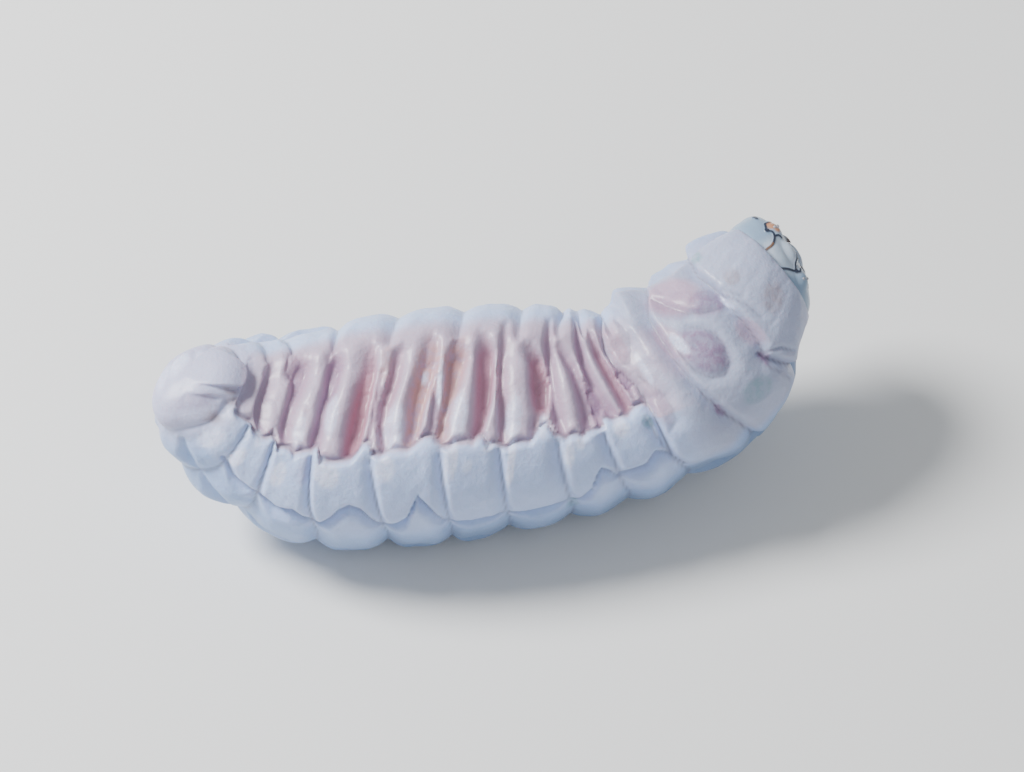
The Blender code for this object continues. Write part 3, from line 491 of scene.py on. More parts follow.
def bodyPlaces(station, angle, share, height):     # share 1 is the skin, 0 the middle line
    wide = halfWidth(station)
    turn = np.radians(angle)
    back = body["backDepth"] + body["tailBack"] * ease((3 - station) / 3)
    deep = wide * np.where(np.cos(turn) > 0, body["bellyDepth"], back)
    outLeft = np.sin(turn) / np.maximum(wide, 1e-6)
    outBelly = np.cos(turn) / np.maximum(deep, 1e-6)
    steep = np.hypot(outLeft, outBelly)
    toLeft = share * (wide * np.sin(turn) + height * outLeft / steep)
    toBelly = share * (deep * np.cos(turn) + height * outBelly / steep)
    tilt, slant = ringLean(station)
    forward = np.tan(tilt) * toBelly - np.tan(slant) * toLeft
    return (line.read(line.places, station)
            + forward[:, None] * line.read(line.ahead, station)
            + toBelly[:, None] * line.read(line.belly, station)
            + toLeft[:, None] * line.read(line.left, station))


shift = np.array(body["tailTip"])
print("body laid out on the CAD frame")


# Materials: sockets that add and multiply like numbers
class Link:
    def __init__(self, paint, socket):
        self.paint = paint
        self.socket = socket

    def math(self, operation, first, second=None):
        inputs = {0: first} if second is None else {0: first, 1: second}
        return self.paint.node("Math", settings={"operation": operation}, inputs=inputs)

    def __add__(self, other):
        return self.math("ADD", self, other)

    __radd__ = __add__

    def __sub__(self, other):
        return self.math("SUBTRACT", self, other)

    def __rsub__(self, other):
        return self.math("SUBTRACT", other, self)

    def __mul__(self, other):
        return self.math("MULTIPLY", self, other)

    __rmul__ = __mul__

    def band(self, low, high):      # 0 below low, 1 above high
        return self.paint.node("MapRange", settings={"interpolation_type": "SMOOTHSTEP"},
                               inputs={"Value": self, "From Min": low, "From Max": high})


class Paint:
    def __init__(self, name, **fixed):
        self.material = bpy.data.materials.new(name)
        self.material.use_nodes = True
        self.tree = self.material.node_tree
        self.shader = self.tree.nodes["Principled BSDF"]
        for socket, value in fixed.items():
            self.shader.inputs[socket.replace("_", " ")].default_value = value
        self.object = self.node("TexCoord", output="Object")

    def node(self, kind, output=0, settings=None, inputs=None):
        made = self.tree.nodes.new("ShaderNode" + kind)
        for name, value in (settings or {}).items():
            setattr(made, name, value)
        for name, value in (inputs or {}).items():
            self.feed(made.inputs[name], value)
        return Link(self, made.outputs[output])

    def feed(self, socket, value):
        if isinstance(value, Link):
            self.tree.links.new(value.socket, socket)
        else:
            socket.default_value = value

    def attribute(self, name):
        return self.node("Attribute", output="Fac", settings={"attribute_name": name})

    def grain(self, size, detail=2.0, roughness=0.5, distortion=0.0):     # size in millimetres
        inputs = {"Vector": self.object, "Scale": 1 / (size * mm), "Detail": detail, "Roughness": roughness}
        return self.node("TexNoise", inputs={**inputs, "Distortion": distortion})

    def mix(self, share, first, second):
        inputs = {0: share, 6: first, 7: second}
        return self.node("Mix", output=2, settings={"data_type": "RGBA"}, inputs=inputs)

    def scale(self, colour, by):
        inputs = {"Vector": colour, "Scale": by}
        return self.node("VectorMath", settings={"operation": "SCALE"}, inputs=inputs)

    def bump(self, height, depth, strength=1.0):       # depth in millimetres
        return self.node("Bump", inputs={"Height": height, "Distance": depth * mm, "Strength": strength})

    def finish(self, **fed):
        for socket, value in fed.items():
            self.feed(self.shader.inputs[socket.replace("_", " ")], value)
        return self.material


skinPaint = {
    "pale": (0.51, 0.44, 0.57, 1),
    # side plates: pale blue-grey skin, with painted blue bounce light in the colour
    "plate": (0.46, 0.57, 0.86, 1),
    # flanks: darker and bluer than the plates, painted shade with painted blue bounce light
    "paintedFlankShade": (0.32, 0.45, 0.74, 1),
    # lower side towards the floor: painted shade, tinted with painted blue bounce light
    "below": (0.19, 0.28, 0.47, 1),
    "thorax": (0.40, 0.44, 0.61, 1),
    "pink": (0.47, 0.32, 0.44, 1),
    "red": (0.42, 0.17, 0.23, 1),
    "violet": (0.24, 0.13, 0.25, 1),
    "orange": (0.56, 0.29, 0.26, 1),
    "brown": (0.27, 0.19, 0.19, 1),
    "green": (0.13, 0.30, 0.34, 1),
    # painted shade laid along the crease lines
    "dark": (0.11, 0.08, 0.13, 1),
    # painted highlight: colour of the glints on the plates, the folds, the thorax and the tail
    "paintedGlint": (0.70, 0.75, 1.0, 1),
    "scatter": (1.0, 0.42, 0.34),
    "scatterDepth": 0.30,
    "bumpDepth": 0.014,
}


def paintSkin():
    look = skinPaint
    paint = Paint("larvaSkin", Subsurface_Weight=0.22, Subsurface_Radius=look["scatter"],
                  Subsurface_Scale=look["scatterDepth"] * mm, IOR=1.42, Coat_Weight=0.3, Coat_Roughness=0.24)
    grainy = paint.grain(0.035, 3.0, 0.65)
    pebbly = paint.grain(0.11, 2.0, 0.5)
    cloudy = paint.grain(0.8, 4.0, 0.6, 0.5)
    patchy = paint.grain(0.22, 3.0, 0.6, 0.2)
    streaky = paint.grain(0.20, 3.0, 0.55, 1.2)
    colour = paint.mix(paint.attribute("plate"), look["pale"], look["plate"])
    colour = paint.mix(paint.attribute("thorax"), colour, look["thorax"])
    # painted shade with blue bounce light on the flanks and on the lower side
    colour = paint.mix(paint.attribute("paintedFlankShade"), colour, look["paintedFlankShade"])
    colour = paint.mix(paint.attribute("below"), colour, look["below"])
    colour = paint.mix(paint.attribute("pink"), colour, look["pink"])
    colour = paint.mix(paint.attribute("orange") * patchy.band(0.3, 0.6), colour, look["orange"])
    violet = paint.attribute("violet") * (0.55 + 0.45 * patchy.band(0.35, 0.65))
    colour = paint.mix(violet, colour, look["violet"])
    colour = paint.mix(paint.attribute("red"), colour, look["red"])
    colour = paint.mix(paint.attribute("brown") * (0.4 + 0.6 * patchy.band(0.3, 0.65)), colour, look["brown"])
    colour = paint.mix(paint.attribute("green") * (0.4 + 0.6 * patchy.band(0.3, 0.65)), colour, look["green"])
    # painted shade: thin dark lines along the creases, the plate edges and the segment borders
    colour = paint.mix(paint.attribute("crease"), colour, look["dark"])
    # painted highlights: glints mixed into the colour, with lower roughness under them
    paintedGlint = paint.attribute("paintedGlint")
    colour = paint.mix(paintedGlint * (0.70 + 0.30 * streaky.band(0.40, 0.58)), colour, look["paintedGlint"])
    light = 0.80 + 0.20 * cloudy + 0.12 * patchy + 0.10 * grainy
    colour = paint.scale(colour, light)
    roughness = 0.46 + 0.14 * cloudy - 0.16 * grainy.band(0.5, 0.8) - 0.18 * paintedGlint
    normal = paint.bump(grainy * 0.7 + pebbly + 1.3 * patchy, look["bumpDepth"], 0.8)
    return paint.finish(Base_Color=colour, Roughness=roughness, Normal=normal)


# Skin: one closed mesh from the tail tip to the collar, where it rolls in behind the head
skin = {
    "around": 288,
    "rows": 340,
    "tailRows": 0.075,        # share of the rows on the last segment
    "rimRows": 0.055,         # share of the rows that roll in at the collar
    "denseAngle": 20,         # the rows are closer together round this angle
    "denser": 25,
    "rimRound": 0.12,
    "rimDeep": 0.5,
    "floorSoft": 0.02,
}


def skinGrid(flat):          # station, angle and share of the radius of each vertex of a round ball
    t = np.arccos(np.clip(-flat[:, 2], -1, 1)) / pi
    around = np.degrees(np.arctan2(flat[:, 1], flat[:, 0]))
    angle = around - skin["denser"] * np.sin(np.radians(around - skin["denseAngle"]))
    tailEnd, rim = skin["tailRows"], 1 - skin["rimRows"]
    first, last = line.distance(1.0), line.distance(body["collar"])
    trunk = first + (t - tailEnd) / (rim - tailEnd) * (last - first)
    station = np.where(t < tailEnd, 1 - np.cos(np.clip(t / tailEnd, 0, 1) * pi / 2), line.station(trunk))
    roll = np.clip((t - rim) / (1 - rim), 0, 1)
    turn = np.clip(roll / 0.45, 0, 1) * pi
    length = body["segments"][body["collar"] - 1][1]
    inward = skin["rimRound"] * (1 - np.cos(turn)) / halfWidth(np.array([float(body["collar"])]))[0]
    behind = ease((roll - 0.45) / 0.35)
    rolled = body["collar"] + (skin["rimRound"] * np.sin(turn) - skin["rimDeep"] * behind) / length
    station = np.where(roll > 0, rolled, station)
    share = (1 - inward) * (1 - np.clip((roll - 0.6) / 0.4, 0, 1))
    return station, (angle + 180) % 360 - 180, np.where(roll > 0, share, 1.0)


def buildSkin():
    bm = bmesh.new()
    bmesh.ops.create_uvsphere(bm, u_segments=skin["around"], v_segments=skin["rows"], radius=1)
    flat = np.array([vertex.co for vertex in bm.verts])
    station, angle, share = skinGrid(flat)
    height, sinks, tints = skinHeight(station, angle)
    places = bodyPlaces(station, angle, share, height) + shift
    soft = skin["floorSoft"]
    places[:, 2] = soft * np.logaddexp(0, places[:, 2] / soft)
    for vertex, place in zip(bm.verts, places):
        vertex.co = Vector(place * mm)
    bmesh.ops.recalc_face_normals(bm, faces=bm.faces)
    mesh = bpy.data.meshes.new("skin")
    bm.to_mesh(mesh)
    bm.free()
    mesh.shade_smooth()
    for name, values in skinMasks(station, angle, sinks, tints).items():
        mesh.attributes.new(name, "FLOAT", "POINT").data.foreach_set("value", values.astype(np.float32))
    obj = bpy.data.objects.new("skin", mesh)
    bpy.context.scene.collection.objects.link(obj)
    mesh.materials.append(paintSkin())
    return obj


# Stains by colour: station, angle, reach along and round, strength; the glint rows are painted highlights
stains = {
    "violet": (
        (11.38, 4, 0.38, 25, 0.8), (11.55, -36, 0.45, 22, 0.35), (11.88, -22, 0.34, 17, 0.7),
        (11.02, 44, 0.07, 8, 0.8), (11.83, 35, 0.09, 8, 0.8), (10.26, 22, 0.26, 10, 0.35),
        (3.74, 38, 0.26, 12, 0.3),
    ),
    "pink": (
        (11.62, -42, 0.55, 26, 0.8), (11.1, -12, 0.3, 24, 0.7), (10.85, -8, 0.5, 32, 0.4),
        (9.95, -22, 0.42, 20, 0.7), (11.97, 14, 0.22, 18, 0.55), (10.22, 20, 0.26, 26, 0.4),
        (0.75, -10, 0.45, 26, 0.4),
    ),
    "orange": (
        (5.62, -14, 0.4, 22, 0.6), (5.95, -18, 0.16, 14, 0.6), (4.98, -20, 0.14, 14, 0.35),
    ),
    "brown": (
        (12.44, -21, 0.16, 10, 0.5), (12.6, 14, 0.26, 14, 0.5),
    ),
    "green": (
        (9.86, 31, 0.18, 7, 0.6), (12.36, -60, 0.14, 12, 0.7), (11.5, 46, 0.3, 12, 0.5),
        (8.17, 76, 0.14, 10, 0.6),
    ),
    # painted highlights: glints on the plates' upper edges, on the belly folds and on the thorax
    "paintedGlint": (
        (1.26, 70, 0.33, 25, 0.8), (1.07, 36, 0.18, 10, 0.65), (2.16, 57, 0.2, 15, 0.9),
        (2.34, 34, 0.18, 10, 0.55), (3.22, 46, 0.22, 12, 0.95), (4.26, 39, 0.28, 9, 0.95),
        (4.09, 36, 0.15, 10, 0.85), (5.1, 36, 0.2, 9, 0.9), (5.97, 38, 0.06, 15, 0.85),
        (6.08, 34, 0.1, 15, 0.95), (6.34, 38, 0.12, 5, 0.55), (6.67, 30, 0.12, 4, 0.75),
        (7.09, 39, 0.11, 18, 1.0), (8.08, 39, 0.15, 10, 1.0), (8.3, 34, 0.15, 5, 0.85),
        (9.26, 30, 0.25, 8, 1.0), (10.32, -1, 0.12, 18, 0.65), (11.2, -7, 0.12, 12, 1.0),
        (12.08, -13, 0.06, 12, 1.0), (4.17, 7, 0.2, 18, 0.6), (5.17, 16, 0.22, 18, 0.65),
        (6.12, 12, 0.2, 18, 0.65), (7.06, 16, 0.22, 18, 0.65), (3.46, 18, 0.2, 15, 0.5),
        (5.78, -6, 0.06, 18, 0.75), (5.54, -12, 0.07, 6, 0.65), (7.62, 22, 0.1, 10, 0.65),
    ),
}

# Stains of the last segment by colour: place on the tail plane, half widths, strength. The glint rows
# are painted highlights; the brown and violet spots in the hollow beside the lobe are partly painted shade.
tailStains = {
    # painted highlights: glints on the lobe's corner, on its rim and on the plate below
    "paintedGlint": (
        (-0.27, -0.16, 0.2, 0.34, 0.9), (-0.52, 0.08, 0.16, 0.36, 0.7), (0.2, -0.42, 0.4, 0.14, 0.5),
        (-0.85, 0.2, 0.16, 0.4, 0.5),
    ),
    # brown spots in the hollow beside the lobe: the skin's colour, darkened with painted shade
    "brown": (
        (1.05, 0.32, 0.5, 0.2, 0.55), (1.25, 0.6, 0.4, 0.22, 0.55), (0.66, 1.12, 0.44, 0.22, 0.65),
    ),
    # violet along the hollow: partly the skin's colour, partly painted shade
    "violet": (
        (0.2, 0.64, 0.8, 0.32, 0.35),
    ),
    "orange": (
        (1.5, -0.2, 0.24, 0.34, 0.6),
    ),
}


def skinMasks(station, angle, sinks, tints):
    top = np.interp(station, *zip(*plateTop))
    plate = ease((angle - top) / 2) + ease((-34 - angle) / 14)
    paintedFlankShade = ease((angle - 66) / 16) + ease((-66 - angle) / 30)
    venter = ease((top + 4 - angle) / 5) * ease((angle + 50) / 24) * ease((station - 1.1) / 2.2)
    venter = venter * ease((11.2 - station) / 1.6)
    groove = np.clip(sinks["belly"] / 0.32, 0, 1)
    onTail = 1 - ease((station - 0.75) / 1.0)
    masks = {
        # plates and tail tip take the plate colour with its painted blue bounce light
        "plate": np.clip(plate, 0, 1) * (1 - onTail) + 0.45 * onTail,
        # flanks: painted shade and painted blue bounce light
        "paintedFlankShade": np.clip(paintedFlankShade, 0, 1) * (1 - onTail),
        # lower side, from the fourth segment forward: painted shade
        "below": np.clip(ease((angle - 74) / 22) + ease((-96 - angle) / 30), 0, 1) * ease((station - 3) / 3),
        "thorax": ease((station - 10.0) / 0.9) * (1 - 0.6 * np.clip(paintedFlankShade, 0, 1)),
        # pink deepens in the grooves: the belly's colour with painted shade in the grooves
        "pink": venter * (0.30 + 0.70 * ease(groove * 1.5)),
        "red": ease(tints["red"]) * 0.9,
        # painted shade along the creases
        "crease": tints["thin"] * 0.62,
        "violet": tints["violet"] * 0.8,
        "orange": tints["orange"],
        "brown": tints["brown"],
        "paintedGlint": np.zeros_like(station),
        "green": np.zeros_like(station),
    }
    for kind, rows in stains.items():
        for middle, turn, along, around, strength in rows:
            spot = ease(2.0 * softBump(station, angle, middle, turn, along, around))
            masks[kind] = np.maximum(masks[kind], strength * spot)
    x, y = tailPlane(station, angle)
    for kind, rows in tailStains.items():
        for right, down, wide, high, strength in rows:
            spot = ease(1.5 - 1.5 * np.hypot((x - right) / wide, (y - down) / high)) * (station < 2)
            masks[kind] = np.maximum(masks[kind], strength * spot)
    return masks


skinPiece = buildSkin()
print("skin:", len(skinPiece.data.polygons), "faces")


# Head: a squarish capsule with swellings for its parts; sideways is to the left, down to the belly
head = {
    "size": (1.45, 1.19, 0.79),
    "ahead": 0.14,
    "shiftRight": 0.12,
    "turn": -14.5,
    "squareness": 2.5,
    "around": 300,
    "rings": 240,
    "mouthDown": 38,
    "behind": 0.02,           # the capsule is cut off this far ahead of the collar plane
}
mouth = head["mouthDown"]
# sideways, down, half width, half height in degrees, height in millimetres
face = (
    (26, -48, 30, 34, 0.05),
    (-26, -48, 30, 34, 0.05),
    (0, mouth - 24, 24, 8, 0.05),          # clypeus
    (0, mouth - 11, 18, 8, 0.11),          # upper lip
    (0, mouth, 21, 5, -0.14),              # mouth opening
    (27, mouth + 15, 13, 14, 0.10),        # maxillae
    (-27, mouth + 15, 13, 14, 0.10),
    (0, mouth + 17, 14, 13, 0.12),         # lower lip
    (0, mouth + 44, 20, 20, 0.05),         # plate behind the lower lip
    (62, mouth - 4, 24, 40, 0.06),         # cheeks
    (-62, mouth - 4, 24, 40, 0.06),
    (31, -4, 8, 8, 0.06),                  # antennal discs
    (-31, -4, 8, 8, 0.06),
)


def faceDirection(sideways, down):
    s, v = np.radians(sideways), np.radians(down)
    return np.stack([np.sin(s), np.cos(s) * np.sin(v), np.cos(s) * np.cos(v)], -1)


def faceRelief(directions):
    total = np.zeros(len(directions))
    for sideways, down, wide, high, height in face:
        s, v = radians(sideways), radians(down)
        middle = faceDirection(sideways, down)
        side = np.array([cos(s), -sin(s) * sin(v), -sin(s) * cos(v)])
        lower = np.array([0.0, cos(v), -sin(v)])
        x = directions @ side / sin(radians(wide))
        y = directions @ lower / sin(radians(high))
        total += height * ease(1.15 - np.hypot(x, y)) * (directions @ middle > 0)
    return total


def facePlaces(directions, lift=0.0):
    q = head["squareness"]
    rise = faceRelief(directions) + lift
    reach = (np.abs(directions)**q).sum(1)**(-1 / q)
    local = directions * reach[:, None] * np.array(head["size"]) + directions * rise[:, None]
    local[:, 2] += head["ahead"]
    turn = radians(head["turn"])
    x = local[:, 0] * cos(turn) - local[:, 2] * sin(turn) - head["shiftRight"]
    z = local[:, 2] * cos(turn) + local[:, 0] * sin(turn)
    return np.stack([x, local[:, 1], z], 1)


def headAxes():
    station = np.array([float(body["collar"])])
    ahead = line.read(line.ahead, station)[0]
    belly = line.read(line.belly, station)[0]
    left = line.read(line.left, station)[0]
    tilt, slant = ringLean(station)
    lower = belly + np.tan(tilt) * ahead
    lower /= np.linalg.norm(lower)
    side = left - np.tan(slant) * ahead
    out = np.cross(lower, side)
    out *= np.sign(out @ ahead) / np.linalg.norm(out)
    side = np.cross(lower, out)
    side *= np.sign(side @ left)
    return np.stack([side, lower, out], 1), line.read(line.places, station)[0]


headTurn, headPlace = headAxes()


def headToFrame(local):
    return (local @ headTurn.T + headPlace + shift) * mm


# Dark bars as routes of (sideways, down): forked hooks beside the lower lip and the arch over the mouth
bars = (
    ((-11, 95), (-12, 85), (-15, 76), (-20, 68), (-25, 67), (-29, 73), (-33, 70), (-37, 64), (-36, 57)),
    ((-20, 68), (-19, 61), (-16, 56)),
    ((12, 93), (14, 83), (16, 76), (19, 66), (20, 60), (17, 53)),
    ((19, 66), (15, 61), (11, 58), (6, 52), (3, 50)),
    ((-35, 42), (-29, 30), (-16, 20), (0, 16), (16, 20), (29, 30), (35, 42)),
)
mouthParts = {
    "barHalf": 0.020,
    "barSoft": 0.028,
    "barRise": 0.022,
    "blobs": ((-29, 73, 0.055), (19, 64, 0.05), (-53, 65, 0.05), (-49, 67, 0.04), (-37, 50, 0.05)),
    "patches": ((-31, 57, 0.22), (-24, 56, 0.14)),
    "jawBase": 0.13,
    "jawLength": 0.26,
    "palpSize": 0.052,
}


def faceRoute(pairs, lift=0.0):      # places along a route over the face
    pairs = np.array(pairs, float)
    keys = np.arange(len(pairs))
    fine = np.linspace(0, len(pairs) - 1, 8 * len(pairs))
    sideways, down = (curveThrough(fine, keys, pairs[:, column]) for column in (0, 1))
    return facePlaces(faceDirection(sideways, down), lift)


def nearestTo(places, route):
    nearest = np.full(len(places), 1e3)
    for point in route:
        nearest = np.minimum(nearest, np.linalg.norm(places - point, axis=1))
    return nearest


def headMasks(directions, places):
    barAway = np.full(len(places), 1e3)
    for pairs in bars:
        barAway = np.minimum(barAway, nearestTo(places, faceRoute(pairs)))
    half, soft = mouthParts["barHalf"], mouthParts["barSoft"]
    bar = ease((half + soft - barAway) / soft)
    for sideways, down, size in mouthParts["blobs"]:
        away = nearestTo(places, facePlaces(faceDirection(sideways, down)[None]))
        bar = np.maximum(bar, ease((size + soft - away) / soft))
    patch = np.zeros(len(places))
    for sideways, down, size in mouthParts["patches"]:
        away = nearestTo(places, facePlaces(faceDirection(sideways, down)[None]))
        patch = np.maximum(patch, ease((size - away) / 0.10))
    stem = nearestTo(places, faceRoute(((-11, 95), (-12, 86)))) < 0.12
    cheek = ease((np.abs(directions[:, 0]) - 0.25) / 0.2)
    return {"bar": bar, "patch": patch, "cheek": cheek, "warm": bar * stem}


headPaint = {
    "pale": (0.36, 0.44, 0.55, 1),
    "light": (0.43, 0.49, 0.58, 1),
    "cheek": (0.24, 0.34, 0.47, 1),
    "patch": (0.46, 0.22, 0.12, 1),
    "bar": (0.022, 0.030, 0.055, 1),
    "warm": (0.16, 0.09, 0.06, 1),
    "horn": (0.38, 0.40, 0.45, 1),
    "hornTip": (0.07, 0.040, 0.035, 1),
}


def paintHead():
    look = headPaint
    paint = Paint("headSkin", Subsurface_Weight=0.25, Subsurface_Radius=(1.0, 0.6, 0.5),
                  Subsurface_Scale=0.22 * mm, IOR=1.45, Coat_Weight=0.4, Coat_Roughness=0.2)
    cloudy = paint.grain(0.45, 4.0, 0.6, 0.4)
    fine = paint.grain(0.04, 3.0, 0.6)
    speckle = paint.grain(0.09, 3.0, 0.6)
    colour = paint.mix(cloudy.band(0.3, 0.7), look["pale"], look["light"])
    colour = paint.mix(paint.attribute("cheek"), colour, look["cheek"])
    colour = paint.mix(paint.attribute("patch") * speckle.band(0.25, 0.50), colour, look["patch"])
    colour = paint.mix(paint.attribute("bar"), colour, look["bar"])
    colour = paint.mix(paint.attribute("warm"), colour, look["warm"])
    colour = paint.scale(colour, 0.88 + 0.16 * cloudy + 0.08 * speckle)
    return paint.finish(Base_Color=colour, Roughness=0.30 + 0.16 * cloudy,
                        Normal=paint.bump(fine + 0.5 * speckle, 0.008, 0.6))


def placeMesh(bm, name, material):
    bmesh.ops.recalc_face_normals(bm, faces=bm.faces)
    mesh = bpy.data.meshes.new(name)
    bm.to_mesh(mesh)
    bm.free()
    mesh.shade_smooth()
    obj = bpy.data.objects.new(name, mesh)
    bpy.context.scene.collection.objects.link(obj)
    mesh.materials.append(material)
    return obj


def moveVerts(verts, places):
    for vertex, place in zip(verts, places):
        vertex.co = Vector(place)


def buildHead():
    bm = bmesh.new()
    bmesh.ops.create_uvsphere(bm, u_segments=head["around"], v_segments=head["rings"], radius=1)
    bmesh.ops.rotate(bm, verts=bm.verts, cent=(0, 0, 0), matrix=Matrix.Rotation(pi / 2, 3, "X"))
    directions = np.array([vertex.co for vertex in bm.verts])
    masks = headMasks(directions, facePlaces(directions))
    raised = facePlaces(directions, mouthParts["barRise"] * masks["bar"])
    layers = {name: bm.verts.layers.float.new(name) for name in masks}
    for name, layer in layers.items():
        for vertex, value in zip(bm.verts, masks[name]):
            vertex[layer] = value
    moveVerts(bm.verts, raised)
    everything = bm.verts[:] + bm.edges[:] + bm.faces[:]
    cut = bmesh.ops.bisect_plane(bm, geom=everything, plane_co=(0, 0, head["behind"]), plane_no=(0, 0, 1),
                                 clear_inner=True)
    rim = [item for item in cut["geom_cut"] if isinstance(item, bmesh.types.BMEdge)]
    bmesh.ops.contextual_create(bm, geom=rim)
    moveVerts(bm.verts, headToFrame(np.array([vertex.co for vertex in bm.verts])))
    obj = placeMesh(bm, "headCapsule", paintHead())
    obj.data.set_sharp_from_angle(angle=radians(60))
    return obj


def paintMouth():
    paint = Paint("mouthHorn", Subsurface_Weight=0.1, Subsurface_Radius=(1.0, 0.5, 0.3),
                  Subsurface_Scale=0.08 * mm, IOR=1.5, Coat_Weight=0.5, Coat_Roughness=0.15)
    grain = paint.grain(0.05, 3.0, 0.6)
    colour = paint.mix(paint.attribute("tip"), headPaint["horn"], headPaint["hornTip"])
    return paint.finish(Base_Color=paint.scale(colour, 0.8 + 0.4 * grain), Roughness=0.25 + 0.2 * grain,
                        Normal=paint.bump(grain, 0.004, 0.5))


def buildJaws():             # two small curved mandibles whose tips meet in the mouth
    pair = bmesh.new()
    for side in (1, -1):
        bm = bmesh.new()     # each jaw is shaped by itself and then joins the pair
        layer = bm.verts.layers.float.new("tip")
        bmesh.ops.create_cone(bm, cap_ends=True, segments=28, radius1=1, radius2=0.06, depth=1)
        sides = [edge for edge in bm.edges if abs(edge.verts[0].co.z - edge.verts[1].co.z) > 0.5]
        bmesh.ops.subdivide_edges(bm, edges=sides, cuts=16)
        ring = bm.verts[:]
        flat = np.array([vertex.co for vertex in ring])
        t = flat[:, 2] + 0.5
        base, length = mouthParts["jawBase"], mouthParts["jawLength"]
        width = base * (1 - 0.97 * t**1.6) * 0.9
        swing = radians(70) * t
        radius = np.hypot(flat[:, 0], flat[:, 1]) / np.maximum(1 - 0.94 * t, 0.06)
        turn = np.arctan2(flat[:, 1], flat[:, 0])
        out = length * np.sin(swing) * 0.75
        inward = length * (1 - np.cos(swing)) + 0.05 * t
        middle = facePlaces(faceDirection(side * 19, mouth - 1)[None], -0.03)[0]
        x = middle[0] - side * inward + width * radius * np.cos(turn) * np.cos(swing)
        y = middle[1] + width * radius * np.sin(turn) * 0.7
        z = middle[2] + out * 0.45 + width * radius * np.cos(turn) * np.sin(swing) * side
        moveVerts(ring, headToFrame(np.stack([x, y, z], 1)))
        for vertex, value in zip(ring, ease((t - 0.25) / 0.5)):
            vertex[layer] = value
        jaw = bpy.data.meshes.new("jaw")
        bm.to_mesh(jaw)
        bm.free()
        pair.from_mesh(jaw)
        bpy.data.meshes.remove(jaw)
    return placeMesh(pair, "mandibles", paintMouth())


def buildPalps():            # ringed discs of the maxillae, the lower lip and the antennae
    bm = bmesh.new()
    layer = bm.verts.layers.float.new("tip")
    spots = [(side * sideways, down, size) for side in (1, -1)
             for sideways, down, size in ((27, mouth + 12, 1.0), (27, mouth + 20, 0.8), (8, mouth + 14, 0.9),
                                          (31, -4, 1.1))]
    for sideways, down, size in spots:
        made = bmesh.ops.create_uvsphere(bm, u_segments=32, v_segments=24, radius=1)["verts"]
        flat = np.array([vertex.co for vertex in made])
        low = np.hypot(flat[:, 0], flat[:, 1])
        ringed = 0.34 * np.sqrt(np.clip(1 - low**2, 0, 1)) + 0.20 * ease(1 - np.abs(low - 0.62) / 0.2)
        ringed = ringed + 0.55 * ease((0.34 - low) / 0.12)
        height = np.where(flat[:, 2] > 0, ringed, 0.8 * flat[:, 2])
        direction = faceDirection(sideways, down)
        base = facePlaces(direction[None])[0]
        turn = Vector((0, 0, 1)).rotation_difference(Vector(direction)).to_matrix()
        radius = mouthParts["palpSize"] * size
        local = np.stack([flat[:, 0], flat[:, 1], height], 1) * radius @ np.array(turn).T + base
        moveVerts(made, headToFrame(local))
        for vertex, value in zip(made, ease((0.42 - low) / 0.1) * (flat[:, 2] > 0)):
            vertex[layer] = 0.6 * value
    return placeMesh(bm, "palps", paintMouth())


headPiece = buildHead()
jawPiece = buildJaws()
palpPiece = buildPalps()
print("head:", len(headPiece.data.polygons), "faces")

# Floor, light and camera
stage = {
    "floorSize": 0.6,
    "floorColour": (0.80, 0.80, 0.79, 1),
    "elevation": 53.4,
    "lens": 180,
    "sensor": 36,
    "pixelsPerMm": 40,
    "imageWidth": 1024,
    "aimAlong": 7.33,
    "aimRight": 1.74,
    "aimUp": 1.0,
    "worldColour": (0.93, 0.96, 1.0, 1),
    "worldStrength": 0.42,
}
lights = {                   # direction, distance and size in metres, watts, colour
    "keyLight": ((-1.2, 0.35, 1.30), 0.12, 0.045, 0.30, (1, 1, 1)),
    "fillLight": ((0.5, -1.0, 1.2), 0.16, 0.14, 0.05, (0.90, 0.95, 1.0)),
}


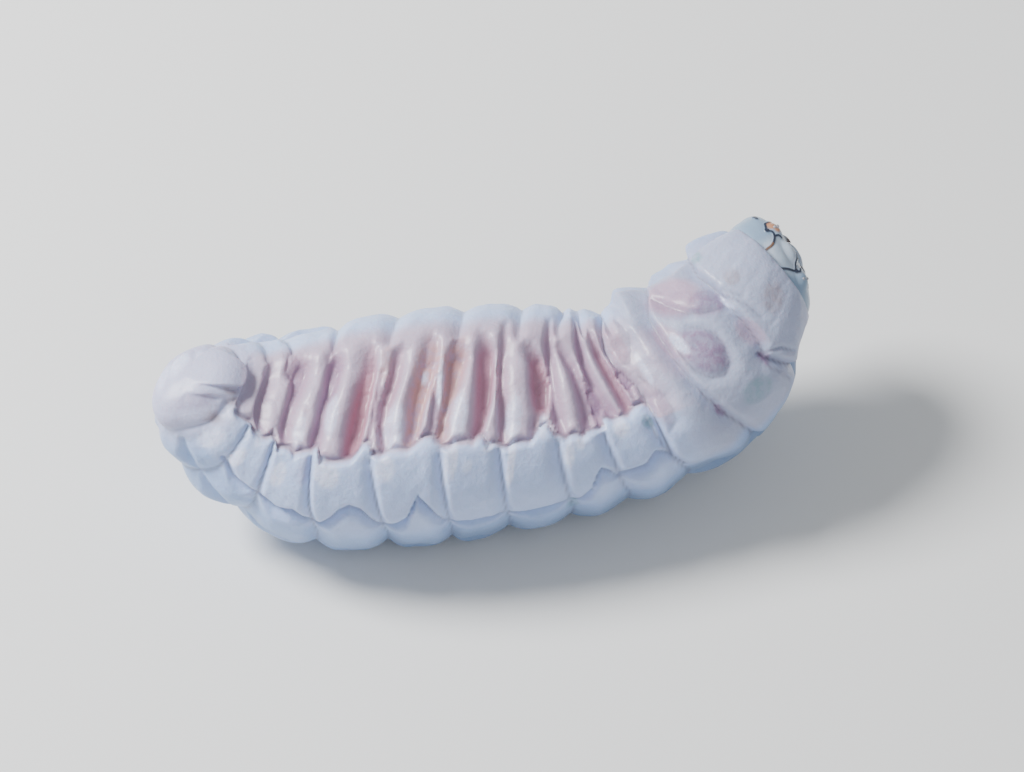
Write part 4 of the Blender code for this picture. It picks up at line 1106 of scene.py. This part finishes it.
def buildFloor():
    bm = bmesh.new()
    bmesh.ops.create_grid(bm, x_segments=24, y_segments=24, size=stage["floorSize"])
    mesh = bpy.data.meshes.new("floor")
    bm.to_mesh(mesh)
    bm.free()
    obj = bpy.data.objects.new("floor", mesh)
    bpy.context.scene.collection.objects.link(obj)
    paint = Paint("floorPaper", Roughness=0.9)
    mesh.materials.append(paint.finish(Base_Color=stage["floorColour"]))


def buildLight(name, direction, distance, size, watts, colour):
    data = bpy.data.lights.new(name, "AREA")
    data.shape = "DISK"
    data.size = size
    data.energy = watts
    data.color = colour
    obj = bpy.data.objects.new(name, data)
    bpy.context.scene.collection.objects.link(obj)
    out = Vector(direction).normalized()
    obj.location = out * distance
    obj.rotation_euler = out.to_track_quat("Z", "Y").to_euler()


def buildWorld():
    world = bpy.data.worlds.new("studio")
    world.use_nodes = True
    background = world.node_tree.nodes["Background"]
    background.inputs["Color"].default_value = stage["worldColour"]
    background.inputs["Strength"].default_value = stage["worldStrength"]
    bpy.context.scene.world = world


def buildCamera():
    data = bpy.data.cameras.new("camera")
    data.lens = stage["lens"]
    data.sensor_width = stage["sensor"]
    data.clip_start = 0.005
    data.clip_end = 5
    obj = bpy.data.objects.new("camera", data)
    bpy.context.scene.collection.objects.link(obj)
    tilt = radians(stage["elevation"])
    towards = np.array([0.0, -cos(tilt), sin(tilt)])
    up = np.array([0.0, sin(tilt), cos(tilt)])
    distance = stage["lens"] * stage["imageWidth"] / stage["pixelsPerMm"] / stage["sensor"]
    station = line.station(np.array([stage["aimAlong"]]))
    aim = line.read(line.places, station)[0] + shift
    aim = aim + np.array([stage["aimRight"], 0, 0]) + stage["aimUp"] * up
    obj.location = Vector((aim + towards * distance) * mm)
    obj.rotation_euler = (pi / 2 - tilt, 0, 0)
    bpy.context.scene.camera = obj


buildFloor()
buildWorld()
for name, values in lights.items():
    buildLight(name, *values)
buildCamera()
print("stage set")

segmentNames = [segment[0] for segment in body["segments"]]
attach(skinPiece, "root")
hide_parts(*segmentNames[:body["collar"]])
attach(headPiece, "root")
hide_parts("head")
for piece in (jawPiece, palpPiece):
    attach(piece, "root")
